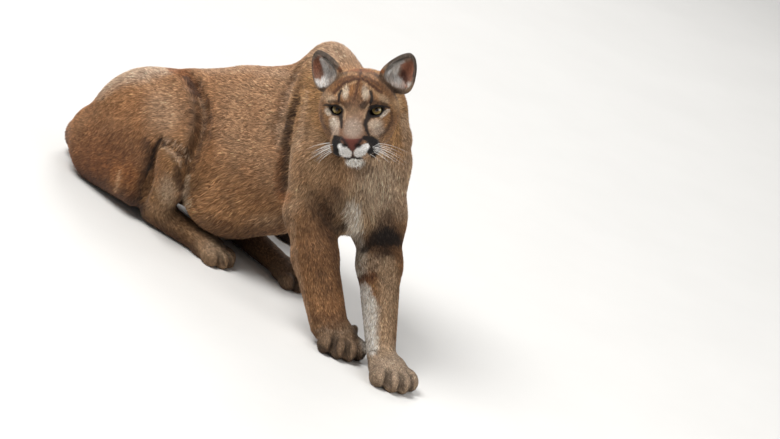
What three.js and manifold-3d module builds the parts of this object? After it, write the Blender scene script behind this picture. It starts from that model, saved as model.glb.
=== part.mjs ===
// A life-size cougar, crouched on its haunches with its forelegs stretched forward and its head
// turned to its right. One smooth body is described by bones and lumps of muscle, meshed, made
// lighter, and parted by thin cuts into the pieces that a person would name.
// Millimetres, +Z up, +X the way the body faces, floor at Z = 0.
import * as THREE from "three";
import { mergeVertices } from "three/addons/utils/BufferGeometryUtils.js";
import Module from "manifold-3d";

const wasm = await Module();
wasm.setup();

// Driving sizes
const GAP = 0.3; // between neighbouring pieces
const EYE_RADIUS = 14.5;
const EYE_PLACE = [-11, 40, -1]; // the left eyeball's centre in the head's frame
const EYE_MIDDLE = [251, -152, 505]; // the head's frame starts midway between the eyes
const HEAD_TURN = [-47.7, 4.3, 19.8]; // yaw, pitch and roll of the face
const EAR = { radii: [17, 34, 43], wall: 4.5, taper: 0.42 };
const EARS = { right: [-64, -71, 69, -28, 30], left: [-62, 82, 68, 12, -32] }; // place, yaw and roll
const PAW = { long: 50, wide: 41, high: 33, toe: [30, 18, 24], spread: 11.5, back: 17 };
const FORE_PAWS = { right: [314, -36, -24], left: [452, -8, -14] }; // middle X, Y and heading
const HIND_PAWS = { right: [-100, -68, 14], left: [5, 72, 6] };
const HIND_GROW = 0.82; // the hind paws are smaller than the forepaws

const vec = (p) => new THREE.Vector3(...p);
const degrees = THREE.MathUtils.degToRad;

// A frame with X forward, Y left and Z up, turned by yaw, then pitch (nose up), then roll.
function frame(origin, yaw = 0, pitch = 0, roll = 0) {
  const turn = new THREE.Euler(degrees(roll), degrees(-pitch), degrees(yaw), "ZYX");
  return new THREE.Matrix4().makeRotationFromEuler(turn).setPosition(vec(origin));
}

const BODY = frame([0, 0, 0]);
const HEAD = frame(EYE_MIDDLE, ...HEAD_TURN);

// The body as a list of shapes: each is a bone (a cone with round ends, that may be flat) or a
// lump (an ellipsoid), joined to those before it with a soft blend, or cut from them.
const shapes = [];

function bone(from, to, radii, { blend = 30, flat = 1, across = [0, 1, 0], at = BODY, cut = false } = {}) {
  const a = vec(from).applyMatrix4(at);
  const b = vec(to).applyMatrix4(at);
  const n = vec(across).transformDirection(at);
  const reach = a.distanceTo(b) / 2 + Math.max(...radii) * Math.max(1, flat) + blend;
  shapes.push({
    kind: "bone", a, n, blend, cut, flat, reach,
    ab: b.clone().sub(a),
    length2: a.distanceToSquared(b),
    r0: radii[0],
    dr: radii[1] - radii[0],
    middle: a.clone().lerp(b, 0.5),
  });
}

function lump(centre, radii, { blend = 30, turn = [0, 0, 0], at = BODY, cut = false } = {}) {
  const own = at.clone().multiply(frame(centre, ...turn));
  const middle = new THREE.Vector3().setFromMatrixPosition(own);
  shapes.push({
    kind: "lump", radii, blend, cut, middle,
    inverse: own.clone().invert().elements,
    reach: Math.max(...radii) + blend,
  });
}

// A lump with a smaller lump taken out of its front: the cup of an ear.
function cup(centre, { radii, wall, taper }, { blend = 6, turn = [0, 0, 0], at = BODY } = {}) {
  lump(centre, radii, { blend, turn, at });
  const own = at.clone().multiply(frame(centre, ...turn));
  const hollow = own.clone().multiply(frame([radii[0] * 2, 0, 2]));
  const s = shapes[shapes.length - 1];
  s.kind = "cup";
  s.taper = taper;
  s.hollow = {
    taper,
    radii: [radii[0] * 3 - wall, radii[1] - wall, radii[2] - wall],
    inverse: hollow.invert().elements,
  };
}

function boneDistance(s, x, y, z) {
  const px = x - s.a.x;
  const py = y - s.a.y;
  const pz = z - s.a.z;
  const t = Math.min(1, Math.max(0, (px * s.ab.x + py * s.ab.y + pz * s.ab.z) / s.length2));
  const qx = px - t * s.ab.x;
  const qy = py - t * s.ab.y;
  const qz = pz - t * s.ab.z;
  let d2 = qx * qx + qy * qy + qz * qz;
  if (s.flat !== 1) {
    const side = qx * s.n.x + qy * s.n.y + qz * s.n.z;
    d2 += side * side * (1 / (s.flat * s.flat) - 1);
  }
  return Math.sqrt(d2) - (s.r0 + t * s.dr);
}

function lumpDistance(s, x, y, z) {
  const m = s.inverse;
  const px = (m[0] * x + m[4] * y + m[8] * z + m[12]) / s.radii[0];
  const pz = (m[2] * x + m[6] * y + m[10] * z + m[14]) / s.radii[2];
  const narrow = s.taper ? 1 + s.taper * Math.max(-1, Math.min(1, pz)) : 1;
  const py = ((m[1] * x + m[5] * y + m[9] * z + m[13]) * narrow) / s.radii[1];
  const k0 = Math.hypot(px, py, pz);
  const k1 = Math.hypot(px / s.radii[0], py / s.radii[1], pz / s.radii[2]);
  return k1 > 1e-9 ? (k0 * (k0 - 1)) / k1 : -Math.min(...s.radii);
}

function softMin(a, b, blend) {
  const h = Math.max(blend - Math.abs(a - b), 0) / blend;
  return Math.min(a, b) - (h * h * blend) / 4;
}

function shapeDistance(s, x, y, z) {
  if (s.kind === "bone") return boneDistance(s, x, y, z);
  const own = lumpDistance(s, x, y, z);
  return s.kind === "cup" ? -softMin(-own, lumpDistance(s.hollow, x, y, z), 3) : own;
}

// The distance from a point to the body's surface, less than zero inside.
function field(list, x, y, z) {
  let d = 1e3;
  for (const s of list) {
    const own = shapeDistance(s, x, y, z);
    if (s.cut) d = -softMin(-d, own, s.blend);
    else if (own < d + s.blend) d = softMin(d, own, s.blend);
  }
  return d;
}

const SIDES = [["right", -1], ["left", 1]];

function trunk() {
  bone([-538, -100, 92], [-428, -68, 172], [68, 95]);
  bone([-425, -64, 188], [-215, -18, 262], [102, 129], { blend: 60, flat: 0.9 });
  lump([-62, 0, 304], [225, 122, 159], { blend: 70, turn: [5, 31, 0] });
  lump([-100, -10, 192], [185, 112, 118], { blend: 70, turn: [5, 27, 0] });
  lump([110, -10, 335], [110, 104, 120], { blend: 60, turn: [0, 20, 0] });
  lump([-22, 8, 463], [78, 50, 80], { blend: 40, turn: [0, 31, 0] });
  lump([-150, -50, 118], [95, 70, 72], { blend: 45 });
  lump([185, -15, 265], [62, 62, 58], { blend: 30 });
}

function shoulders() {
  bone([-22, -42, 470], [152, -93, 345], [34, 60], { blend: 40, flat: 0.7 });
  bone([-10, 70, 460], [140, 70, 362], [34, 58], { blend: 40, flat: 0.7 });
  bone([152, -92, 340], [152, -88, 240], [58, 48], { blend: 45 });
  bone([146, 70, 352], [190, 70, 250], [58, 52], { blend: 45 });
}

function neck() {
  bone([50, -5, 412], [140, -24, 458], [98, 86], { blend: 50 });
  bone([140, -24, 458], [182, -84, 482], [84, 70], { blend: 30 });
  bone([150, 30, 440], [178, 46, 420], [40, 36], { blend: 34 });
}

function forelegs() {
  bone([158, -88, 232], [202, -76, 160], [47, 46], { blend: 35 });
  bone([202, -76, 160], [280, -52, 48], [47, 40], { blend: 20 });
  bone([192, 70, 250], [263, 46, 176], [52, 46], { blend: 35 });
  bone([263, 46, 176], [392, 6, 42], [46, 31], { blend: 20 });
}

function hindLegs() {
  bone([-440, -110, 164], [-212, -146, 186], [98, 66], { blend: 45, flat: 0.76 });
  bone([-490, -120, 78], [-330, -136, 84], [84, 66], { blend: 40, flat: 0.75 });
  bone([-339, -70, 267], [-229, -77, 282], [63, 67], { blend: 16 });
  bone([-229, -77, 282], [-192, -113, 215], [67, 65], { blend: 16 });
  bone([-196, -158, 180], [-262, -116, 50], [50, 33], { blend: 16 });
  bone([-274, -110, 34], [-130, -78, 24], [33, 25], { blend: 16 });
  bone([-442, -8, 168], [-205, 92, 180], [102, 68], { blend: 45, flat: 0.72 });
  bone([-490, -2, 78], [-320, 48, 82], [82, 66], { blend: 40, flat: 0.75 });
  bone([-185, 100, 176], [-218, 78, 50], [50, 33], { blend: 16 });
  bone([-228, 72, 34], [-35, 70, 25], [33, 25], { blend: 16 });
}

function paw([x, y, heading], grow, inner) {
  const at = frame([x, y, -2], heading);
  const sized = (values) => values.map((v) => v * grow);
  lump(sized([-14, 0, 28]), sized([PAW.long, PAW.wide, PAW.high]), { blend: 18, at });
  for (const side of [-1.5, -0.5, 0.5, 1.5]) {
    const out = side * 2 * PAW.spread;
    const back = Math.abs(side) > 1 ? PAW.back : 0;
    lump(sized([32 - back, out, 22]), sized(PAW.toe), { blend: 8, at, turn: [side * 7, 0, 0] });
  }
  for (const side of [-1, 0, 1]) {
    const out = side * 2 * PAW.spread;
    const back = side ? PAW.back / 2 : 0;
    const looks = { blend: 6, at, cut: true };
    bone(sized([30 - back, out, 51]), sized([64 - back, out * 1.1, 10]), sized([3, 4]), looks);
  }
  if (inner) lump(sized([-34, 33 * inner, 42]), [13, 9, 13], { blend: 8, at });
}

// Creases of the loose skin: each runs along its points, with how deep it reaches at each.
const CREASES = [
  { into: [-0.1, -0.7, 0.7], along: [[-332, -99, 330, 4], [-291, -108, 324, 6], [-250, -118, 317, 7],
    [-212, -129, 303, 8]] },
  { into: [0.45, -0.68, 0.58], along: [[-212, -129, 303, 8], [-187, -136, 281, 8], [-169, -145, 256, 8],
    [-155, -156, 232, 7]] },
  { into: [0.8, -0.4, 0.3], along: [[-155, -156, 232, 7], [-144, -164, 208, 6], [-142, -168, 181, 5],
    [-150, -163, 149, 4]] },
  { into: [0, -1, -0.1], along: [[-248, -187, 205, 6], [-244, -192, 174, 9], [-246, -187, 143, 10],
    [-259, -172, 107, 9], [-272, -162, 70, 7]] },
  { into: [0.2, -0.8, 0.5], along: [[-229, -193, 208, 3], [-191, -197, 217, 5], [-165, -189, 211, 5],
    [-148, -176, 192, 4]] },
  { into: [0, -1, 0], along: [[13, -101, 450, 3], [29, -111, 420, 5], [34, -111, 386, 6], [44, -113, 355, 8],
    [53, -111, 322, 8], [62, -107, 291, 7], [70, -100, 259, 7]] },
  { into: [-0.2, -0.9, 0.2], along: [[-48, -67, 482, 3], [-32, -84, 442, 5], [-13, -104, 406, 5],
    [2, -114, 366, 5], [16, -116, 323, 3]] },
  { into: [0.9, -0.4, 0.1], along: [[185, -140, 307, 3], [201, -120, 284, 5], [211, -100, 256, 7],
    [222, -77, 236, 7], [230, -57, 250, 4]] },
];

function creases() {
  for (const { into, along: run } of CREASES) {
    for (let i = 0; i + 1 < run.length; i++) {
      const [from, to] = [run[i], run[i + 1]];
      const looks = { blend: 20, flat: 1.5, across: into, cut: true };
      bone(from.slice(0, 3), to.slice(0, 3), [from[3], to[3]], looks);
    }
  }
}

const TAIL = [[-566, -96, 84], [-622, -74, 50], [-652, 0, 36], [-636, 90, 30], [-566, 165, 29],
  [-460, 212, 28], [-330, 234, 27], [-205, 240, 26]];

function tail() {
  const route = new THREE.CatmullRomCurve3(TAIL.map(vec));
  const steps = 22;
  const points = route.getSpacedPoints(steps);
  const thick = (i) => 38 - 11 * Math.min(1, (2.2 * i) / steps);
  for (let i = 0; i < steps; i++) {
    bone(points[i].toArray(), points[i + 1].toArray(), [thick(i), thick(i + 1)], { blend: i < 4 ? 30 : 12 });
  }
}

function skull() {
  const at = HEAD;
  lump([-60, 0, 8], [72, 62, 62], { at, blend: 40 });
  lump([-34, 0, 22], [44, 48, 34], { at, blend: 25 });
  bone([-8, 0, -2], [68, 0, -49], [27, 18], { at, blend: 26 });
  bone([5, 0, -50], [46, 0, -66], [40, 29], { at, blend: 24 });
  bone([-55, 0, -60], [48, 0, -91], [38, 16], { at, blend: 14, flat: 1.05 });
  for (const [, s] of SIDES) {
    lump([-46, 48 * s, -12], [50, 31, 38], { at, blend: 30 });
    lump([-38, 38 * s, -46], [44, 27, 32], { at, blend: 26 });
    lump([-8, 33 * s, 18], [24, 22, 13], { at, blend: 16 });
    lump([-8, 40 * s, -26], [26, 20, 16], { at, blend: 20 });
    lump([24, 20 * s, -42], [34, 22, 22], { at, blend: 20 });
    lump([52, 21 * s, -67], [29, 23, 19], { at, blend: 8, turn: [14 * s, 0, 0] });
    lump([34, 28 * s, -60], [24, 20, 19], { at, blend: 12, turn: [14 * s, 0, 0] });
  }
  lump([74, 0, -49], [14, 22, 10], { at, blend: 6 });
  lump([76, 0, -60], [12, 12, 12], { at, blend: 6 });
}

// Cups of the ears, lids over the eyeballs, nostrils and the line of the mouth.
function face() {
  const at = HEAD;
  for (const [side, s] of SIDES) {
    const [x, y, z] = EYE_PLACE;
    lump([x, y * s, z], [18, 18.5, 17.5], { at, blend: 9 });
    lump([x + 16, (y - 2) * s, z - 0.5], [13, 15, 7.4], { at, blend: 3, turn: [10 * s, 0, 18 * s], cut: true });
    const ear = EARS[side];
    cup(ear.slice(0, 3), EAR, { at, turn: [ear[3], 0, ear[4]] });
    bone([92, 8 * s, -57], [78, 15 * s, -58], [4, 2.8], { at, blend: 2, cut: true });
    bone([88, 0, -68], [77, 2 * s, -87], [2.6, 3.2], { at, blend: 2, cut: true });
    bone([77, 2 * s, -87], [58, 25 * s, -88], [3.8, 3.4], { at, blend: 2, cut: true });
    bone([58, 25 * s, -88], [16, 42 * s, -81], [3.4, 2.6], { at, blend: 2, cut: true });
  }
}

trunk();
shoulders();
neck();
hindLegs();
tail();
forelegs();
creases();
for (const [side, s] of SIDES) paw(FORE_PAWS[side], 1, -s);
for (const [side] of SIDES) paw(HIND_PAWS[side], HIND_GROW, 0);
skull();
face();

// Where two corners of a cell's side lie inside, across from each other, one between them is
// taken in too, so that no two sheets of the surface share an edge.
function partCorners(values, steps, cell) {
  let again = true;
  while (again) {
    again = false;
    for (let base = 0; base < values.length - steps[1] - steps[2] - 1; base++) {
      for (const [u, v] of [[steps[0], steps[1]], [steps[1], steps[2]], [steps[0], steps[2]]]) {
        const four = [base, base + u, base + u + v, base + v];
        const [a, b, c, d] = four.map((i) => values[i] < 0);
        if (a !== c || b !== d || a === b) continue;
        const [p, q] = a ? [four[1], four[3]] : [four[0], four[2]];
        values[values[p] < values[q] ? p : q] = -0.05 * cell;
        again = true;
      }
    }
  }
}

// The surface of the field inside a box, as a closed net with one point in each crossed cell.
function surface(low, high, cell) {
  const count = [0, 1, 2].map((i) => Math.ceil((high[i] - low[i]) / cell) + 1);
  const [nx, ny, nz] = count;
  const at = (i, j, k) => i + nx * (j + ny * k);
  const values = new Float32Array(nx * ny * nz);
  const block = 6;
  const half = (block * cell) / 2;
  for (let kk = 0; kk < nz; kk += block) {
    for (let jj = 0; jj < ny; jj += block) {
      for (let ii = 0; ii < nx; ii += block) {
        const mx = low[0] + ii * cell + half;
        const my = low[1] + jj * cell + half;
        const mz = low[2] + kk * cell + half;
        const around = half * 1.8;
        const near = shapes.filter((s) => Math.hypot(mx - s.middle.x, my - s.middle.y, mz - s.middle.z)
          < s.reach + around);
        const middle = near.length ? field(near, mx, my, mz) : 1e3;
        const far = Math.abs(middle) > around * 1.7;
        for (let k = kk; k < Math.min(kk + block, nz); k++) {
          for (let j = jj; j < Math.min(jj + block, ny); j++) {
            for (let i = ii; i < Math.min(ii + block, nx); i++) {
              const edge = !i || !j || !k || i === nx - 1 || j === ny - 1 || k === nz - 1;
              const d = far ? Math.sign(middle) * cell
                : field(near, low[0] + i * cell, low[1] + j * cell, low[2] + k * cell);
              values[at(i, j, k)] = edge ? 20 * cell : d;
            }
          }
        }
      }
    }
  }
  const steps = [1, nx, nx * ny];
  partCorners(values, steps, cell);
  const points = [];
  const faces = [];
  const index = new Int32Array(nx * ny * nz).fill(-1);
  const corner = (q) => at(q & 1, (q >> 1) & 1, q >> 2);
  for (let k = 0; k < nz - 1; k++) {
    for (let j = 0; j < ny - 1; j++) {
      for (let i = 0; i < nx - 1; i++) {
        const base = at(i, j, k);
        const sum = [0, 0, 0];
        let crossed = 0;
        for (let q = 0; q < 8; q++) {
          for (let axis = 0; axis < 3; axis++) {
            if (q & (1 << axis)) continue;
            const v0 = values[base + corner(q)];
            const v1 = values[base + corner(q | (1 << axis))];
            if (v0 < 0 === v1 < 0) continue;
            const t = v0 / (v0 - v1);
            for (let m = 0; m < 3; m++) sum[m] += ((q >> m) & 1) + (m === axis ? t : 0);
            crossed++;
          }
        }
        if (!crossed) continue;
        index[base] = points.length / 3;
        points.push(low[0] + (i + sum[0] / crossed) * cell, low[1] + (j + sum[1] / crossed) * cell,
          low[2] + (k + sum[2] / crossed) * cell);
      }
    }
  }
  for (let k = 0; k < nz - 1; k++) {
    for (let j = 0; j < ny - 1; j++) {
      for (let i = 0; i < nx - 1; i++) {
        const base = at(i, j, k);
        const inside = values[base] < 0;
        for (let axis = 0; axis < 3; axis++) {
          if (inside === values[base + steps[axis]] < 0) continue;
          const u = steps[(axis + 1) % 3];
          const v = steps[(axis + 2) % 3];
          const [a, b, c, d] = [index[base - u - v], index[base - v], index[base], index[base - u]];
          if (inside) faces.push(a, b, c, a, c, d);
          else faces.push(a, c, b, a, d, c);
        }
      }
    }
  }
  return { points, faces };
}

// Fewer triangles: the edge whose loss changes the surface least goes first.
function lighten({ points, faces }, keep) {
  const total = points.length / 3;
  const spot = Float64Array.from(points);
  const quadric = new Float64Array(total * 10);
  const around = Array.from({ length: total }, () => new Set());
  const alive = new Uint8Array(faces.length / 3).fill(1);
  const stamp = new Int32Array(total);
  const normal = (a, b, c) => {
    const ux = spot[3 * b] - spot[3 * a];
    const uy = spot[3 * b + 1] - spot[3 * a + 1];
    const uz = spot[3 * b + 2] - spot[3 * a + 2];
    const vx = spot[3 * c] - spot[3 * a];
    const vy = spot[3 * c + 1] - spot[3 * a + 1];
    const vz = spot[3 * c + 2] - spot[3 * a + 2];
    return [uy * vz - uz * vy, uz * vx - ux * vz, ux * vy - uy * vx];
  };
  for (let f = 0; f < alive.length; f++) {
    const [a, b, c] = [faces[3 * f], faces[3 * f + 1], faces[3 * f + 2]];
    let [x, y, z] = normal(a, b, c);
    const size = Math.hypot(x, y, z) || 1e-9;
    x /= size;
    y /= size;
    z /= size;
    const w = -(x * spot[3 * a] + y * spot[3 * a + 1] + z * spot[3 * a + 2]);
    const parts = [x * x, x * y, x * z, x * w, y * y, y * z, y * w, z * z, z * w, w * w];
    for (const v of [a, b, c]) {
      around[v].add(f);
      for (let i = 0; i < 10; i++) quadric[10 * v + i] += parts[i] * size;
    }
  }
  const cost = (q, x, y, z) => q[0] * x * x + 2 * q[1] * x * y + 2 * q[2] * x * z + 2 * q[3] * x
    + q[4] * y * y + 2 * q[5] * y * z + 2 * q[6] * y + q[7] * z * z + 2 * q[8] * z + q[9];
  const heap = [];
  const swap = (i, j) => {
    const t = heap[i];
    heap[i] = heap[j];
    heap[j] = t;
  };
  const push = (item) => {
    heap.push(item);
    let i = heap.length - 1;
    while (i > 0 && heap[(i - 1) >> 1].price > heap[i].price) {
      swap(i, (i - 1) >> 1);
      i = (i - 1) >> 1;
    }
  };
  const pop = () => {
    const top = heap[0];
    const last = heap.pop();
    if (heap.length) heap[0] = last;
    let i = 0;
    while (2 * i + 1 < heap.length) {
      let child = 2 * i + 1;
      if (child + 1 < heap.length && heap[child + 1].price < heap[child].price) child++;
      if (heap[i].price <= heap[child].price) break;
      swap(i, child);
      i = child;
    }
    return top;
  };
  const offer = (a, b) => {
    const q = [];
    for (let i = 0; i < 10; i++) q.push(quadric[10 * a + i] + quadric[10 * b + i]);
    const middle = [0, 1, 2].map((i) => (spot[3 * a + i] + spot[3 * b + i]) / 2);
    const det = q[0] * (q[4] * q[7] - q[5] * q[5]) - q[1] * (q[1] * q[7] - q[5] * q[2])
      + q[2] * (q[1] * q[5] - q[4] * q[2]);
    const long = Math.hypot(...[0, 1, 2].map((i) => spot[3 * a + i] - spot[3 * b + i]));
    const trials = [middle, [...spot.slice(3 * a, 3 * a + 3)], [...spot.slice(3 * b, 3 * b + 3)]];
    if (Math.abs(det) > 1e-6 * (q[0] + q[4] + q[7]) ** 3) {
      const [A, B, C] = [-q[3], -q[6], -q[8]];
      const x = (A * (q[4] * q[7] - q[5] * q[5]) - q[1] * (B * q[7] - q[5] * C)
        + q[2] * (B * q[5] - q[4] * C)) / det;
      const y = (q[0] * (B * q[7] - C * q[5]) - A * (q[1] * q[7] - q[5] * q[2])
        + q[2] * (q[1] * C - B * q[2])) / det;
      const z = (q[0] * (q[4] * C - B * q[5]) - q[1] * (q[1] * C - B * q[2])
        + A * (q[1] * q[5] - q[4] * q[2])) / det;
      if (Math.hypot(x - middle[0], y - middle[1], z - middle[2]) < long) trials.unshift([x, y, z]);
    }
    let best = null;
    for (const place of trials) {
      const price = cost(q, ...place) + 1e-3 * long * long;
      if (!best || price < best.price) best = { price, place, a, b, when: stamp[a] + stamp[b] };
    }
    push(best);
  };
  const neighbours = (v) => {
    const found = new Set();
    for (const f of around[v]) for (let i = 0; i < 3; i++) found.add(faces[3 * f + i]);
    found.delete(v);
    return found;
  };
  for (let v = 0; v < total; v++) for (const n of neighbours(v)) if (v < n) offer(v, n);
  const flips = (v, other, place) => {
    for (const f of around[v]) {
      const three = [faces[3 * f], faces[3 * f + 1], faces[3 * f + 2]];
      if (three.includes(other)) continue;
      const before = normal(...three);
      const kept = [spot[3 * v], spot[3 * v + 1], spot[3 * v + 2]];
      spot.set(place, 3 * v);
      const after = normal(...three);
      spot.set(kept, 3 * v);
      const dot = before[0] * after[0] + before[1] * after[1] + before[2] * after[2];
      if (dot < 0.25 * Math.hypot(...before) * Math.hypot(...after)) return true;
    }
    return false;
  };
  let left = alive.length;
  while (left > keep && heap.length) {
    const { place, a, b, when } = pop();
    if (stamp[a] < 0 || stamp[b] < 0 || stamp[a] + stamp[b] !== when) continue;
    const nearA = neighbours(a);
    const nearB = neighbours(b);
    if (!nearA.has(b)) continue;
    let shared = 0;
    for (const n of nearA) if (nearB.has(n)) shared++;
    if (shared !== 2 || flips(a, b, place) || flips(b, a, place)) continue;
    spot.set(place, 3 * a);
    for (let i = 0; i < 10; i++) quadric[10 * a + i] += quadric[10 * b + i];
    for (const f of around[b]) {
      const three = [faces[3 * f], faces[3 * f + 1], faces[3 * f + 2]];
      if (three.includes(a)) {
        alive[f] = 0;
        left--;
        for (const v of three) if (v !== b) around[v].delete(f);
      } else {
        for (let i = 0; i < 3; i++) if (faces[3 * f + i] === b) faces[3 * f + i] = a;
        around[a].add(f);
      }
    }
    stamp[b] = -1e9;
    stamp[a]++;
    for (const n of neighbours(a)) offer(Math.min(a, n), Math.max(a, n));
  }
  const kept = [];
  for (let f = 0; f < alive.length; f++) {
    if (alive[f]) kept.push(faces[3 * f], faces[3 * f + 1], faces[3 * f + 2]);
  }
  const names = new Map();
  const packed = [];
  for (let i = 0; i < kept.length; i++) {
    if (!names.has(kept[i])) {
      names.set(kept[i], names.size);
      packed.push(spot[3 * kept[i]], spot[3 * kept[i] + 1], spot[3 * kept[i] + 2]);
    }
    kept[i] = names.get(kept[i]);
  }
  return { points: packed, faces: kept };
}

function solid(points, faces) {
  const mesh = new wasm.Mesh({
    numProp: 3,
    vertProperties: Float32Array.from(points),
    triVerts: Uint32Array.from(faces),
  });
  return new wasm.Manifold(mesh);
}

function solidOf(geometry, matrix) {
  const bare = new THREE.BufferGeometry();
  bare.setAttribute("position", geometry.attributes.position.clone());
  bare.setIndex(geometry.index);
  bare.applyMatrix4(matrix);
  const joined = mergeVertices(bare, 1e-5);
  return solid(joined.attributes.position.array, joined.index.array);
}

// A region of space: a box from one corner to another, in a frame of its own.
function region(at, low, high) {
  return { at, low, high };
}

// A region along a limb, from one point to another, so wide and so deep.
function along(from, to, halfY, halfZ) {
  const way = vec(to).sub(vec(from));
  const turn = new THREE.Quaternion().setFromUnitVectors(new THREE.Vector3(1, 0, 0), way.clone().normalize());
  const at = new THREE.Matrix4().makeRotationFromQuaternion(turn).setPosition(vec(from));
  return region(at, [0, -halfY, -halfZ], [way.length(), halfY, halfZ]);
}

function boxOf({ at, low, high }, grow) {
  const size = [0, 1, 2].map((i) => high[i] - low[i] + 2 * grow);
  const middle = [0, 1, 2].map((i) => (high[i] + low[i]) / 2);
  const place = at.clone().multiply(new THREE.Matrix4().setPosition(vec(middle)));
  return solidOf(new THREE.BoxGeometry(...size), place);
}

// The axis-aligned bounds of a region, with room for two cells around it.
function boundsOf({ at, low, high }, cell, limits) {
  const box = new THREE.Box3(vec(low), vec(high)).applyMatrix4(at).expandByScalar(2 * cell);
  box.intersect(new THREE.Box3(vec(limits[0]), vec(limits[1])));
  return [box.min.toArray(), box.max.toArray()];
}

const LIMITS = [[-740, -320, -16], [560, 330, 660]];
const ABOVE_FLOOR = region(BODY, [-900, -500, 0], [900, 500, 900]);

const earFrame = ([x, y, z, yaw, roll]) => HEAD.clone().multiply(frame([x, y, z], yaw, 0, roll));

// Where each piece is parted from the rest. A piece also gives way to those listed before it.
const REGIONS = {
  ear_left: region(earFrame(EARS.left), [-40, -60, -27], [60, 60, 70]),
  ear_right: region(earFrame(EARS.right), [-40, -60, -27], [60, 60, 70]),
  head: region(HEAD, [-98, -150, -120], [150, 150, 150]),
  neck: along([62, -14, 425], [200, -100, 490], 150, 140),
  forepaw_right: along([282, -50, 46], [340, -33, -39], 52, 90),
  forepaw_left: along([390, 6, 44], [462, -18, -32], 52, 90),
  foreleg_right: along([142, -92, 250], [282, -50, 46], 62, 80),
  foreleg_left: along([190, 72, 256], [390, 6, 44], 60, 80),
  hindpaw_right: region(BODY, [-222, -190, -20], [-20, -5, 60]),
  hindpaw_left: region(BODY, [-228, 12, -20], [60, 140, 60]),
  hindleg_right: region(frame([-560, -56, 0], -7), [-90, -220, -20], [425, 0, 344]),
  hindleg_left: region(frame([-575, -35, 0], 15.6), [-40, 0, -20], [440, 100, 330]),
  tail_base: region(BODY, [-720, -62, -20], [-578, 120, 140]),
  tail_middle: region(BODY, [-720, 120, -20], [-400, 300, 90]),
  tail_tip: region(BODY, [-400, 165, -20], [-120, 300, 90]),
  torso: region(BODY, ...LIMITS),
};

// Each piece's mesh spacing, and the triangles kept
const NETS = {
  torso: [7, 3800],
  neck: [9, 900],
  head: [3, 5400],
  ear: [2.6, 760],
  foreleg: [7, 760],
  forepaw: [4.2, 900],
  hindleg: [6.5, 1100],
  hindpaw: [4.2, 800],
  tail: [7, 420],
};

const COLOURS = { coat: 0xb0825a, ear: 0xa77c58, tail: 0x8d6244, eye: 0xb59a3c };

// The origin is under the middle of the whole model, on the floor.
const model = new THREE.Group();
const meshes = [];

function add(name, geometry, colour, looks = { roughness: 0.9, metalness: 0 }) {
  const mesh = new THREE.Mesh(geometry, new THREE.MeshStandardMaterial({ color: colour, ...looks }));
  mesh.name = name;
  mesh.material.name = name;
  meshes.push(mesh);
}

function geometryOf(body) {
  const { vertProperties, triVerts } = body.getMesh();
  const geometry = new THREE.BufferGeometry();
  geometry.setAttribute("position", new THREE.BufferAttribute(Float32Array.from(vertProperties), 3));
  geometry.setIndex(new THREE.BufferAttribute(Uint32Array.from(triVerts), 1));
  return geometry;
}

// The largest body of a cut, so that no crumb is left beside it.
function largest(body) {
  const bodies = body.decompose();
  return bodies.reduce((best, next) => (next.volume() > best.volume() ? next : best));
}

const eyePlace = (s) => HEAD.clone().multiply(frame([EYE_PLACE[0], EYE_PLACE[1] * s, EYE_PLACE[2]]));
const eyeball = (radius) => new THREE.IcosahedronGeometry(radius, 5);

const names = Object.keys(REGIONS);
for (const name of names) {
  const [cell, keep] = NETS[name.split("_")[0]];
  const net = lighten(surface(...boundsOf(REGIONS[name], cell, LIMITS), cell), keep);
  let body = solid(net.points, net.faces).intersect(boxOf(ABOVE_FLOOR, 0));
  body = body.intersect(boxOf(REGIONS[name], -GAP / 2));
  for (const other of names.slice(0, names.indexOf(name))) {
    body = body.subtract(boxOf(REGIONS[other], GAP / 2));
  }
  if (name === "head") {
    for (const [, s] of SIDES) body = body.subtract(solidOf(eyeball(EYE_RADIUS + GAP), eyePlace(s)));
  }
  const colour = name.startsWith("ear") ? COLOURS.ear : name === "tail_tip" ? COLOURS.tail : COLOURS.coat;
  add(name, geometryOf(largest(body)), colour);
}
for (const [side, s] of SIDES) {
  add(`eye_${side}`, geometryOf(solidOf(eyeball(EYE_RADIUS), eyePlace(s))), COLOURS.eye, { roughness: 0.1 });
}

const bounds = new THREE.Box3();
for (const mesh of meshes) bounds.expandByObject(mesh);
const shift = new THREE.Vector3(-(bounds.min.x + bounds.max.x) / 2, -(bounds.min.y + bounds.max.y) / 2, 0);
for (const mesh of meshes) {
  mesh.geometry.translate(shift.x, shift.y, shift.z);
  model.add(mesh);
}

export default model;
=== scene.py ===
"""The looks of the life-size cougar: skin, coat, eyes, nose, whiskers, floor, light and camera."""
import math

import bpy
import numpy as np
from mathutils import Matrix, Vector


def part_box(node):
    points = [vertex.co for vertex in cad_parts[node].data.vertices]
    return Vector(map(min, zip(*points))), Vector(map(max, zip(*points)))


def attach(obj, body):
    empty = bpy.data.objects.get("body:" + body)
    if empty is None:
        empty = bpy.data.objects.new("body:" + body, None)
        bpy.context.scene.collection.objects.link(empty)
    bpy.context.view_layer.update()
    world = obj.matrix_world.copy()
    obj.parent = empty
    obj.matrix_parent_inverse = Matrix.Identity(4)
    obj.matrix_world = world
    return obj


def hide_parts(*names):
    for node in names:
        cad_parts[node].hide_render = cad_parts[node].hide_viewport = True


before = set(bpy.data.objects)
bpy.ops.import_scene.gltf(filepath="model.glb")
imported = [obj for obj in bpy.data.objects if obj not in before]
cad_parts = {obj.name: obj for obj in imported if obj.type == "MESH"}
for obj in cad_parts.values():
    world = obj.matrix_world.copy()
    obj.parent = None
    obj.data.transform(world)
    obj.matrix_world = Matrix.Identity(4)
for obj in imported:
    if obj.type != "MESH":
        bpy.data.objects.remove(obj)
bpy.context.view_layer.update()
DRAW = np.random.default_rng(7)

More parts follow.
